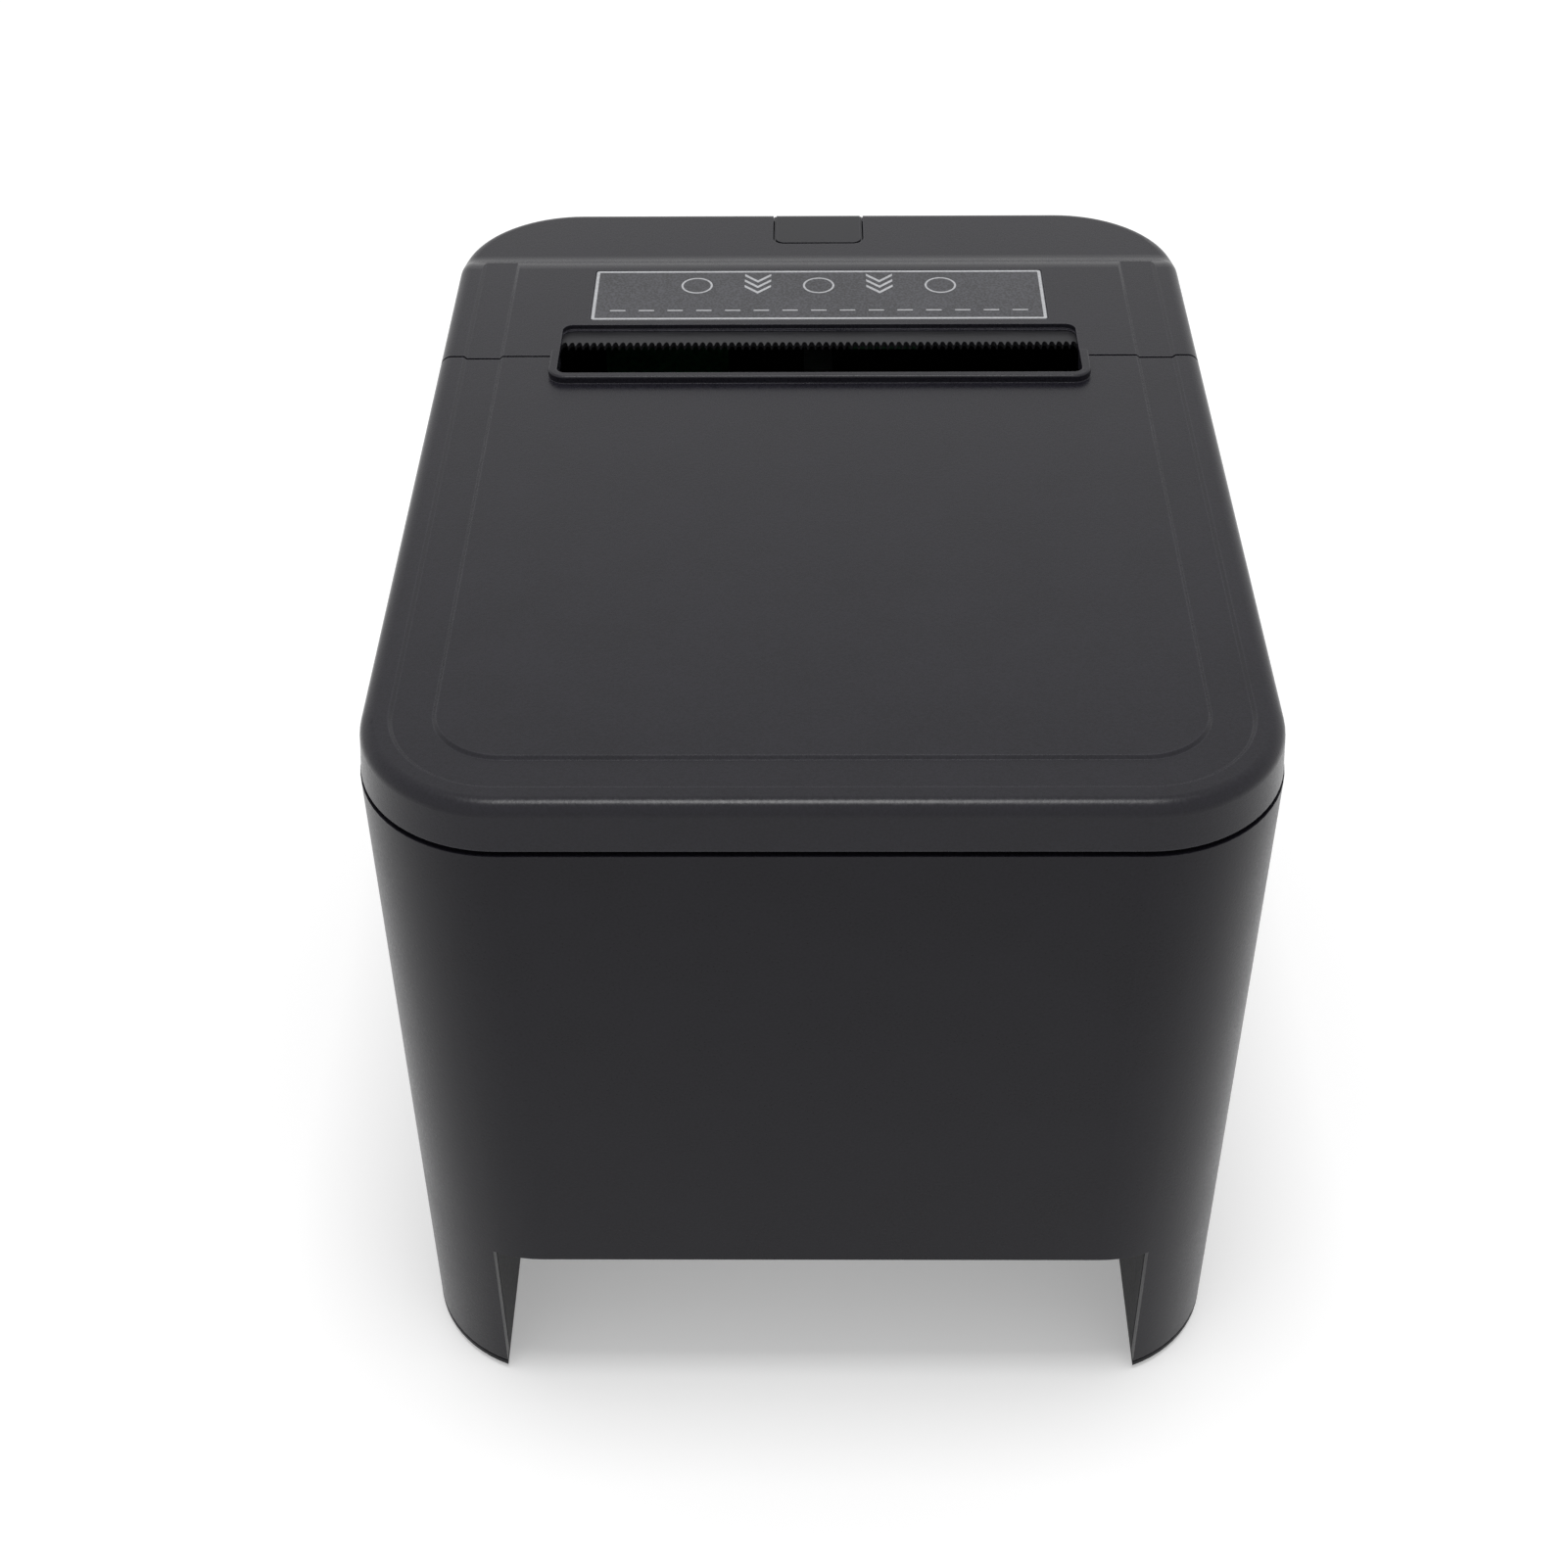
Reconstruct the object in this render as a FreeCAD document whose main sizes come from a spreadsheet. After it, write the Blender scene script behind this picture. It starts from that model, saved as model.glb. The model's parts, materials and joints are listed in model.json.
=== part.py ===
import FreeCAD, Part
import math
import operator
import os
from collections import namedtuple
import Sketcher
from FreeCAD import Placement, Rotation, Vector

# A receipt printer for 80 mm paper. Z is up, the front faces -Y, the rear wall faces +Y, and the origin
# lies on the table under the middle of the case. Driving dimensions, in millimetres and degrees.
DIMENSIONS = {
    # outer case and base tray
    "case_width": 145.0,
    "case_depth": 192.0,
    "case_height": 127.3,
    "corner_radius": 23.6,
    "case_wall": 2.5,
    "rim_lip": 1.2,
    "rim_step": 3.0,
    "foot_proud": 1.2,
    "foot_recess": 1.0,
    "foot_radius": 5.0,
    "foot_inset": 8.0,
    "foot_setback": 26.0,
    "flange_thick": 0.9,
    "base_gap": 0.4,
    "floor_thick": 2.6,
    "tray_clear": 0.3,
    "bay_width": 115.6,
    "bay_height": 31.7,
    "bay_depth": 45.0,
    "lining_thick": 1.5,
    "lining_gap": 0.45,
    "post_radius": 4.5,
    "post_height": 16.0,
    "post_setback": 38.0,
    "post_gap": 8.0,
    "screw_radius": 1.5,
    "screw_head": 2.8,
    "screw_head_thick": 1.6,
    "screw_clear": 0.1,
    # lid and front cover
    "lid_gap": 0.95,
    "lid_height": 8.45,
    "cover_inset": 0.2,
    "rim_taper": 0.75,
    "rim_fillet": 2.4,
    "hollow_taper": 0.3,
    "skin": 2.0,
    "skirt": 1.6,
    "front_length": 61.6,
    "seam_gap": 0.6,
    "tongue_thick": 1.1,
    "tongue_clear": 0.1,
    "outer_line": 5.3,
    "inner_line": 12.7,
    "relief_depth": 0.5,
    "relief_slope": 0.6,
    "ramp_setback": 27.5,
    "ramp_length": 8.0,
    "ramp_drop": 1.5,
    # paper slot, tear bar and label
    "slot_width": 97.8,
    "slot_depth": 8.2,
    "lip_thick": 1.7,
    "lip_rear": 1.7,
    "lip_proud": 1.5,
    "lip_corner": 3.4,
    "lip_bend": 1.7,
    "lip_round": 0.4,
    "recess_width": 98.4,
    "recess_depth": 11.8,
    "recess_corner": 2.0,
    "recess_ledge": 0.55,
    "ledge_thick": 0.3,
    "tear_thick": 1.0,
    "tear_depth": 12.5,
    "tear_overhang": 5.7,
    "tear_seat": 0.7,
    "tear_clear": 0.15,
    "tear_grip": 0.7,
    "tooth_pitch": 1.39,
    "tooth_depth": 1.3,
    "tooth_count": 72,
    "label_width": 88.4,
    "label_length": 19.4,
    "label_setback": 28.5,
    "label_thick": 0.25,
    "label_recess": 0.3,
    "label_corner": 0.6,
    "lens_radius": 1.5,
    "lens_clear": 0.3,
    "lens_collar": 2.4,
    "lens_pitch": 24.0,
    "lens_setback": 6.0,
    "panel_drop": 5.2,
    "panel_width": 80.0,
    "panel_length": 13.0,
    "panel_edge": 4.0,
    "panel_row": 3.0,
    "panel_span": 7.5,
    "board_thick": 1.6,
    # buttons, latch and switches
    "button_width": 17.3,
    "button_length": 13.9,
    "button_gap": 0.6,
    "button_corner": 1.7,
    "button_step": 0.9,
    "button_clear": 0.2,
    "button_skirt": 5.0,
    "button_wall": 1.8,
    "button_flange": 2.0,
    "press_clear": 0.3,
    "stem_side": 5.0,
    "stem_length": 9.5,
    "latch_setback": 13.9,
    "latch_drop": 19.75,
    "latch_rod": 2.0,
    "latch_thick": 1.5,
    "feed_radius": 4.7,
    "feed_flange": 6.0,
    "feed_offset": 32.0,
    "feed_drop": 20.75,
    "feed_clear": 0.3,
    "feed_boss": 9.0,
    "feed_board": 10.0,
    "boss_radius": 2.5,
    "switch_width": 14.0,
    "switch_height": 21.0,
    "switch_depth": 15.0,
    "switch_offset": 40.0,
    "switch_rise": 14.0,
    "rocker_tilt": 5.0,
    # hinge
    "hinge_inset": 4.1,
    "hinge_rise": 4.2,
    "pin_radius": 0.9,
    "pin_fit": 0.02,
    "pin_clear": 0.1,
    "arm_radius": 1.7,
    "arm_width": 4.0,
    "arm_gap": 1.0,
    "arm_half": 1.2,
    "post_reach": 6.4,
    "post_thick": 5.0,
    "seat_height": 14.0,
    "seat_clear": 0.3,
    "lug_width": 3.0,
    "lug_radius": 2.0,
    "lug_clear": 0.3,
    # paper trough and mechanism
    "roll_radius": 42.5,
    "roll_setback": 62.4,
    "roll_drop": 43.55,
    "trough_width": 83.0,
    "trough_wall": 2.0,
    "trough_rim": 4.75,
    "leg_length": 24.0,
    "platen_setback": 6.4,
    "platen_drop": 11.05,
    "platen_radius": 6.0,
    "platen_length": 81.0,
    "shaft_radius": 2.5,
    "shaft_fit": 0.03,
    "bushing_radius": 4.0,
    "sheet_thick": 1.2,
    "cheek_gap": 0.7,
    "plate_gap": 0.8,
    "frame_height": 49.0,
    "head_tilt": 15.0,
    "head_gap": 0.3,
    "head_thick": 1.0,
    "head_low": 9.0,
    "head_high": 5.0,
    "bridge_out": 9.0,
    "spring_width": 16.0,
    "sink_thick": 3.0,
    "gear_module": 0.8,
    "gear_width": 3.3,
    "gear_gap": 0.6,
    "gear_backlash": 0.16,
    "platen_teeth": 24,
    "idler_teeth": 32,
    "pinion_teeth": 12,
    "motor_radius": 14.0,
    "motor_length": 22.0,
    "motor_shaft": 1.5,
    "liner_thick": 1.6,
    "liner_drop": 2.6,
    "liner_width": 116.0,
    "liner_corner": 6.0,
    "liner_front": 1.5,
    "liner_rear": 16.0,
    "liner_rib": 1.5,
    "liner_inset": 11.0,
    "liner_boss_front": 22.6,
    "liner_boss_rear": 15.9,
    # board and sockets
    "main_width": 76.0,
    "main_length": 95.0,
    "standoff": 5.2,
    "panel_thick": 1.0,
    "socket_clear": 0.3,
}

Corner = namedtuple("Corner", "u v radius turn", defaults=(None, 1))
Ring = namedtuple("Ring", "u v radius")
SIGNS = {"+": operator.add, "-": operator.sub, "*": operator.mul, "/": operator.truediv}

doc = FreeCAD.newDocument("ReceiptPrinter")
sheet = doc.addObject("Spreadsheet::Sheet", "Sizes")
for line, (alias, number) in enumerate(DIMENSIONS.items(), start=1):
    sheet.set("A%d" % line, alias)
    sheet.set("B%d" % line, str(number))
    sheet.setAlias("B%d" % line, alias)
doc.recompute()


class Size:
    """A number together with the sheet expression that it comes from."""

    def __init__(self, number, text):
        self.number = number
        self.text = text

    def __float__(self):
        return self.number

    def __add__(self, other):
        return combine(self, "+", other)

    def __radd__(self, other):
        return combine(other, "+", self)

    def __sub__(self, other):
        return combine(self, "-", other)

    def __rsub__(self, other):
        return combine(other, "-", self)

    def __mul__(self, other):
        return combine(self, "*", other)

    def __rmul__(self, other):
        return combine(other, "*", self)

    def __truediv__(self, other):
        return combine(self, "/", other)

    def __neg__(self):
        return combine(0, "-", self)


def as_size(value):
    """Gives plain numbers the same form as sizes from the sheet."""
    return value if isinstance(value, Size) else Size(float(value), "(%r)" % float(value))


def combine(left, sign, right):
    """Joins two sizes by an arithmetic sign."""
    left, right = as_size(left), as_size(right)
    number = SIGNS[sign](left.number, right.number)
    return Size(number, "(%s %s %s)" % (left.text, sign, right.text))


def size(name):
    """Reads a driving dimension from the sheet."""
    return Size(float(sheet.get(name)), "Sizes." + name)


def sine(angle):
    """Sine of an angle in degrees."""
    angle = as_size(angle)
    return Size(math.sin(math.radians(angle.number)), "sin(%s)" % angle.text)


def cosine(angle):
    """Cosine of an angle in degrees."""
    angle = as_size(angle)
    return Size(math.cos(math.radians(angle.number)), "cos(%s)" % angle.text)


def bind(item, path, value):
    """Ties a property to the sheet."""
    item.setExpression(path, as_size(value).text)


def put(item, x, y, z, turn=None):
    """Places an item, with its position tied to the sheet."""
    item.Placement = Placement(Vector(float(x), float(y), float(z)), turn or Rotation())
    for axis, value in zip("xyz", (x, y, z)):
        bind(item, "Placement.Base." + axis, value)
    return item


def span(first, second):
    """Orders two limits from low to high."""
    first, second = as_size(first), as_size(second)
    return (first, second) if first.number <= second.number else (second, first)


def arc_edge(start, end, radius, turn):
    """A circular arc of less than a half turn between two points."""
    chord = end - start
    side = Vector(-chord.y, chord.x, 0).normalize() * turn
    centre = (start + end) * 0.5 + side * math.sqrt(max(radius * radius - chord.Length ** 2 / 4, 0.0))
    low, high = (start, end) if turn > 0 else (end, start)
    angles = [math.atan2(p.y - centre.y, p.x - centre.x) for p in (low, high)]
    if angles[1] < angles[0]:
        angles[1] += 2 * math.pi
    return Part.ArcOfCircle(Part.Circle(centre, Vector(0, 0, 1), radius), *angles)


def draw(sketch, loop):
    """Draws one closed loop, a ring or a list of corners, with every size tied to the sheet."""
    first = sketch.GeometryCount
    rules, ties = [], []

    def rule(kind, *args):
        value = args[-1]
        rules.append(Sketcher.Constraint(kind, *args[:-1], float(value)))
        ties.append((sketch.ConstraintCount + len(rules) - 1, value))

    if isinstance(loop, Ring):
        centre = Vector(float(loop.u), float(loop.v), 0)
        sketch.addGeometry(Part.Circle(centre, Vector(0, 0, 1), float(loop.radius)), False)
        rule("DistanceX", -1, 1, first, 3, loop.u)
        rule("DistanceY", -1, 1, first, 3, loop.v)
        rule("Radius", first, loop.radius)
    else:
        loop = [Corner(*corner) for corner in loop]
        points = [Vector(float(c.u), float(c.v), 0) for c in loop]
        count = len(loop)
        for i, corner in enumerate(loop):
            start, end = points[i], points[(i + 1) % count]
            if corner.radius is None:
                sketch.addGeometry(Part.LineSegment(start, end), False)
            else:
                sketch.addGeometry(arc_edge(start, end, float(corner.radius), corner.turn), False)
        for i, corner in enumerate(loop):
            following = (i + 1) % count
            begin, finish = (2, 1) if corner.turn < 0 else (1, 2)
            onward = 2 if loop[following].turn < 0 else 1
            rules.append(Sketcher.Constraint("Coincident", first + i, finish, first + following, onward))
            rule("DistanceX", -1, 1, first + i, begin, corner.u)
            rule("DistanceY", -1, 1, first + i, begin, corner.v)
            if corner.radius is not None:
                rule("Radius", first + i, corner.radius)
    sketch.addConstraint(rules)
    for index, value in ties:
        bind(sketch, "Constraints[%d]" % index, value)


def sketch_on(body, role, offset, loops):
    """Adds a sketch on one of the body's own planes, moved along the plane's normal."""
    sketch = body.newObject("Sketcher::SketchObject", "Sketch")
    plane = next(item for item in body.Origin.OriginFeatures if item.Role == role)
    sketch.AttachmentSupport = [(plane, "")]
    sketch.MapMode = "FlatFace"
    sketch.AttachmentOffset = Placement(Vector(0, 0, float(offset)), Rotation())
    bind(sketch, "AttachmentOffset.Base.z", offset)
    for loop in loops:
        draw(sketch, loop)
    return sketch


def pad(name, plane, limits, *loops):
    """A body padded between two limits along the normal of XY (up), YZ (to +X) or XZ (along Y)."""
    low, high = span(*limits)
    body = doc.addObject("PartDesign::Body", name)
    offset = -high if plane == "XZ" else low
    sketch = sketch_on(body, plane + "_Plane", offset, loops)
    feature = body.newObject("PartDesign::Pad", "Pad")
    feature.Profile = sketch
    bind(feature, "Length", high - low)
    return body


def loft(name, *sections):
    """A body lofted straight between loops at two heights."""
    body = doc.addObject("PartDesign::Body", name)
    sketches = [sketch_on(body, "XY_Plane", height, [loop]) for height, loop in sections]
    feature = body.newObject("PartDesign::AdditiveLoft", "Loft")
    feature.Profile = sketches[0]
    feature.Sections = sketches[1:]
    feature.Ruled = True
    return body


def spin(name, loop, x, y, z, turn=None):
    """A body turned about its own X axis from a half profile, then placed."""
    body = doc.addObject("PartDesign::Body", name)
    sketch = sketch_on(body, "XY_Plane", 0, [loop])
    feature = body.newObject("PartDesign::Revolution", "Revolution")
    feature.Profile = sketch
    feature.ReferenceAxis = (sketch, ["H_Axis"])
    feature.Angle = 360
    return put(body, x, y, z, turn)


def block(name, xs, ys, zs):
    """A box between limits along each axis."""
    item = doc.addObject("Part::Box", name)
    limits = [span(*pair) for pair in (xs, ys, zs)]
    for path, (low, high) in zip(("Length", "Width", "Height"), limits):
        bind(item, path, high - low)
    return put(item, *[low for low, high in limits])


def rod(name, axis, centre, limits, radius):
    """A cylinder along X, Y or Z, with its centre given in the other two axes in order."""
    low, high = span(*limits)
    item = doc.addObject("Part::Cylinder", name)
    bind(item, "Radius", radius)
    bind(item, "Height", high - low)
    u, v = centre
    if axis == "X":
        return put(item, low, u, v, Rotation(Vector(0, 1, 0), 90))
    if axis == "Y":
        return put(item, u, low, v, Rotation(Vector(1, 0, 0), -90))
    return put(item, u, v, low)


def fuse(name, *items):
    """Joins pieces into one solid."""
    item = doc.addObject("Part::MultiFuse", name)
    item.Shapes = list(items)
    item.Refine = True
    return item


def cut(name, base, *tools):
    """Takes tools away from a base."""
    item = doc.addObject("Part::Cut", name)
    item.Base = base
    item.Tool = tools[0] if len(tools) == 1 else group(name + "_tools", *tools)
    item.Refine = True
    return item


def common(name, base, tool):
    """Keeps what two pieces share."""
    item = doc.addObject("Part::Common", name)
    item.Base = base
    item.Tool = tool
    item.Refine = True
    return item


def group(name, *items):
    """Keeps pieces apart in one compound."""
    item = doc.addObject("Part::Compound", name)
    item.Links = list(items)
    return item


def built(name, shape, x, y, z):
    """A piece whose shape is worked out in code, then placed."""
    item = doc.addObject("Part::Feature", name)
    item.Shape = shape
    return put(item, x, y, z)


def both(make):
    """Calls a maker for the right and the left side."""
    return [make(side) for side in (1, -1)]


def rounded(xs, ys, radius):
    """A rectangle with rounded corners."""
    (x0, x1), (y0, y1) = span(*xs), span(*ys)
    return [(x1, y0 + radius), (x1, y1 - radius, radius), (x1 - radius, y1), (x0 + radius, y1, radius),
            (x0, y1 - radius), (x0, y0 + radius, radius), (x0 + radius, y0), (x1 - radius, y0, radius)]


def case_outline(inset):
    """The case's plan outline, moved inwards."""
    half_x, half_y = half_width - inset, half_depth - inset
    return rounded((-half_x, half_x), (-half_y, half_y), size("corner_radius") - inset)


PAST = 5.0
half_width = size("case_width") / 2
half_depth = size("case_depth") / 2
front_y = -half_depth
rear_y = half_depth
floor_under = size("foot_proud")
floor_top = floor_under + size("floor_thick")
case_bottom = floor_under + size("flange_thick") + size("base_gap")
case_top = case_bottom + size("case_height")
ledge_z = case_top - size("rim_step")
lid_bottom = case_top + size("lid_gap")
lid_top = lid_bottom + size("lid_height")
skin_under = lid_top - size("skin")
front_top = lid_top - size("ramp_drop")
front_under = front_top - size("skin")
inner_y = rear_y - size("case_wall")

bay_half = size("bay_width") / 2
bay_roof = case_bottom + size("bay_height")
panel_y = rear_y - size("bay_depth")

seam_y = front_y + size("front_length")
lid_front = seam_y + size("seam_gap") / 2
cover_rear = seam_y - size("seam_gap") / 2
slot_rear = seam_y + size("slot_depth")
recess_front = seam_y - size("recess_depth")

panel_front = front_y + size("label_setback") - 0.5
tear_top = skin_under + size("tear_seat")
tear_edge = recess_front + size("tear_overhang")
tear_half = size("tooth_count") * size("tooth_pitch") / 2

hinge_y = rear_y - size("hinge_inset")
hinge_z = lid_bottom + size("hinge_rise")
roll_y = seam_y + size("roll_setback")
roll_z = lid_bottom - size("roll_drop")
platen_y = seam_y + size("platen_setback")
platen_z = lid_bottom - size("platen_drop")
trough_half = size("trough_width") / 2
trough_out = trough_half + size("trough_wall")
trough_top = lid_bottom - size("trough_rim")
roll_out = size("roll_radius") + size("trough_wall")
trough_front = roll_y - roll_out
arm_near = trough_out + size("arm_gap")
arm_far = arm_near + size("arm_width")
liner_front = slot_rear + size("liner_front")
liner_rear = hinge_y - size("liner_rear")

cheek_in = size("platen_length") / 2 + size("cheek_gap")
cheek_out = cheek_in + size("sheet_thick")
plate_in = cheek_out + size("plate_gap")
plate_out = plate_in + size("sheet_thick")
gear_in = plate_out + size("gear_gap")
gear_out = gear_in + size("gear_width")
hook_in = gear_out + size("gear_gap")
hook_out = hook_in + size("latch_thick")
frame_bottom = platen_z - size("frame_height")
shelf_top = frame_bottom
frame_front = platen_y - 30.0
frame_rear = trough_front - 1.0
latch_y = seam_y - size("latch_setback")
latch_z = lid_bottom - size("latch_drop")

# The lid leaves along this direction at the platen, so the idler stands on the same line below it.
reach_y = hinge_y - platen_y
reach_z = hinge_z - platen_z
reach = Size(math.hypot(float(reach_y), float(reach_z)),
             "sqrt((%s) * (%s) + (%s) * (%s))" % (reach_y.text, reach_y.text, reach_z.text, reach_z.text))
PINION_DROP = 15.0
idler_reach = size("gear_module") * (size("platen_teeth") + size("idler_teeth")) / 2 + size("gear_backlash")
pinion_reach = size("gear_module") * (size("pinion_teeth") + size("idler_teeth")) / 2 + size("gear_backlash")
idler_y = platen_y + idler_reach * reach_z / reach
idler_z = platen_z - idler_reach * reach_y / reach
motor_y = idler_y - pinion_reach * cosine(PINION_DROP)
motor_z = idler_z - pinion_reach * sine(PINION_DROP)


def cover_form():
    """The closed form of lid and front cover together: tapered sides, a ramp to the front, a rounded rim."""
    inset = size("cover_inset")
    tall = lid_top + PAST
    taper = size("rim_taper") * (size("lid_height") + PAST) / size("lid_height")
    sides = loft("cover_sides", (lid_bottom, case_outline(inset)), (tall, case_outline(inset + taper)))
    drop, length = size("ramp_drop"), size("ramp_length")
    bend = (drop * drop + length * length) / (4 * drop)
    start = front_y + size("ramp_setback")
    far_front, far_rear = front_y - PAST, rear_y + PAST
    top = pad("cover_profile", "YZ", (-half_width - PAST, half_width + PAST), [
        (far_front, front_top), (far_front, lid_bottom - 1), (far_rear, lid_bottom - 1), (far_rear, lid_top),
        (start, lid_top, bend, 1), (start - length / 2, lid_top - drop / 2, bend, -1),
        (start - length, front_top)])
    solid = common("cover_solid", sides, top)
    doc.recompute()
    rim = doc.addObject("Part::Fillet", "cover_form")
    rim.Base = solid
    radius = float(size("rim_fillet"))
    rim.Edges = [(i, radius, radius) for i, edge in enumerate(solid.Shape.Edges, start=1)
                 if is_rim(solid.Shape, edge)]
    return rim


def is_rim(shape, edge):
    """True where a side wall meets the top."""
    slopes = []
    for face in shape.ancestorsOfType(edge, Part.Face):
        u0, u1, v0, v1 = face.ParameterRange
        slopes.append(face.normalAt((u0 + u1) / 2, (v0 + v1) / 2).z)
    return min(slopes) > -0.5 and min(slopes) < 0.3 and max(slopes) > 0.8


def cover_hollow(name, wall):
    """The room inside lid or front cover, under the top skin."""
    inset = size("cover_inset") + wall
    sides = loft(name + "_sides", (lid_bottom - 1, case_outline(inset)),
                 (skin_under, case_outline(inset + size("hollow_taper"))))
    ramp = front_y + size("ramp_setback") + 2.0
    step = block(name + "_step", (-half_width, half_width), (front_y - PAST, ramp), (front_under, lid_top))
    return cut(name, sides, step)


def relief_ring(name):
    """The shallow band let into the top between two lines that follow the outline, with sloping edges."""
    deep, run = size("relief_depth"), size("relief_slope")
    line = size("outer_line")
    outer = loft(name + "_out", (lid_top - deep, case_outline(line + run)),
                 (lid_top + deep, case_outline(line - run)))
    line = size("inner_line")
    inner = loft(name + "_in", (lid_top - 2 * deep, case_outline(line - 2 * run)),
                 (lid_top + 2 * deep, case_outline(line + 2 * run)))
    stop = front_y + size("ramp_setback") - size("ramp_length")
    return cut(name, outer, inner, block(name + "_stop", (-half_width, half_width), (front_y - PAST, stop),
                                         (lid_top - PAST, lid_top + PAST)))


def outer_case():
    """The main shell: rounded walls with a stepped rim, corner posts, a cable notch and front openings."""
    shell = pad("case_block", "XY", (case_bottom, case_top), case_outline(0))
    lower = pad("case_room", "XY", (case_bottom - 1, ledge_z), case_outline(size("case_wall")))
    upper = pad("case_step", "XY", (ledge_z - 0.1, case_top + 1), case_outline(size("rim_lip")))
    notch = block("case_notch", (-bay_half, bay_half), (panel_y, rear_y + PAST), (case_bottom - 1, bay_roof))
    posts = [rod("case_post", "Z", place, (floor_top, floor_top + size("post_height")), size("post_radius"))
             for place in post_places()]
    holes = [rod("post_hole", "Z", place, (floor_top - 1, floor_top + size("post_height") - 2),
                 size("screw_radius") + size("screw_clear")) for place in post_places()]
    feed_x, feed_z = feed_place()
    feed_hole = rod("feed_hole", "Y", (feed_x, feed_z), (front_y - 1, front_y + size("case_wall") + 1),
                    size("feed_radius") + size("feed_clear"))
    switch = block("switch_hole", *switch_limits(0.2, front_y - 1, front_y + size("case_wall") + 1))
    boss_limits = (front_y + size("case_wall") - 0.5, front_y + size("feed_board"))
    bosses = both(lambda side: rod("feed_boss", "Y", (feed_x + side * size("feed_boss"), feed_z), boss_limits,
                                   size("boss_radius")))
    walls = cut("case_walls", shell, lower, upper, notch)
    return cut("outer_case", fuse("case_with_posts", walls, *posts, *bosses), *holes, feed_hole, switch)


def post_places():
    """Where the tray is screwed to the case, beside its side walls."""
    x = half_width - size("case_wall") - size("post_radius") + 1
    rows = (front_y + size("post_setback"), panel_y - size("post_gap"))
    return [(side * x, y) for side in (1, -1) for y in rows]


def foot_places():
    """Where the rubber feet sit."""
    x, y = half_width - size("foot_inset"), half_depth - size("foot_setback")
    return [(sx * x, sy * y) for sx in (1, -1) for sy in (1, -1)]


def base_tray():
    """The bottom tray: a thin flange, a raised floor, the lining of the cable bay and board stand-offs."""
    flange = pad("tray_flange", "XY", (floor_under, floor_under + size("flange_thick")), case_outline(0))
    inner = case_outline(size("case_wall") + size("tray_clear"))
    floor = pad("tray_floor", "XY", (floor_under, floor_top), inner)
    bay = block("tray_bay", (-bay_half, bay_half), (panel_y, rear_y + PAST), (floor_under - 1, bay_roof))
    lined = bay_half + size("lining_thick")
    hood = block("tray_hood", (-lined, lined), (panel_y, rear_y),
                 (floor_under, bay_roof + size("lining_thick")))
    limit = pad("tray_limit", "XY", (0, lid_bottom), case_outline(size("case_wall") + size("lining_gap")))
    standoffs = [rod("tray_standoff", "Z", place, (floor_top - 0.5, floor_top + size("standoff")), 3.0)
                 for place in board_holes()]
    solid = fuse("tray_solid", flange, floor, common("tray_lining", hood, limit), *standoffs)
    recesses = [rod("foot_recess", "Z", place, (floor_under - 1, floor_under + size("foot_recess")),
                    size("foot_radius") + size("screw_clear")) for place in foot_places()]
    heads = [rod("screw_recess", "Z", place, (floor_under - 1, floor_under + size("screw_head_thick")),
                 size("screw_head") + size("screw_clear")) for place in post_places()]
    shanks = [rod("screw_bore", "Z", place, (floor_under, floor_top + 1),
                  size("screw_radius") + size("screw_clear")) for place in post_places()]
    return cut("base_tray", solid, bay, *recesses, *heads, *shanks)


def screw(place, start, length):
    """A screw that points up, with its head at the start."""
    head = prism("screw_top", place, (start, start + size("screw_head_thick")), size("screw_head"))
    return fuse("screw", head, prism("screw_shank", place, (start, start + length), size("screw_radius")))


def prism(name, place, limits, radius):
    """A twelve-sided rod along Z, for small repeated pieces."""
    low, high = span(*limits)
    item = doc.addObject("Part::Prism", name)
    item.Polygon = 12
    bind(item, "Circumradius", radius)
    bind(item, "Height", high - low)
    return put(item, place[0], place[1], low)


def feet_and_screws():
    """Four rubber feet and the four screws that hold the tray."""
    height = size("foot_proud") + size("foot_recess")
    radius = size("foot_radius")
    profile = [(0, 0), (height, 0), (height, radius), (0.5, radius), (0, radius - 0.5)]
    feet = [spin("foot", profile, x, y, 0, Rotation(Vector(0, 1, 0), -90)) for x, y in foot_places()]
    length = size("floor_thick") + size("post_height") - 4
    screws = [screw(place, floor_under, length) for place in post_places()]
    return group("rubber_feet", *feet), group("tray_screws", *screws)


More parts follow.
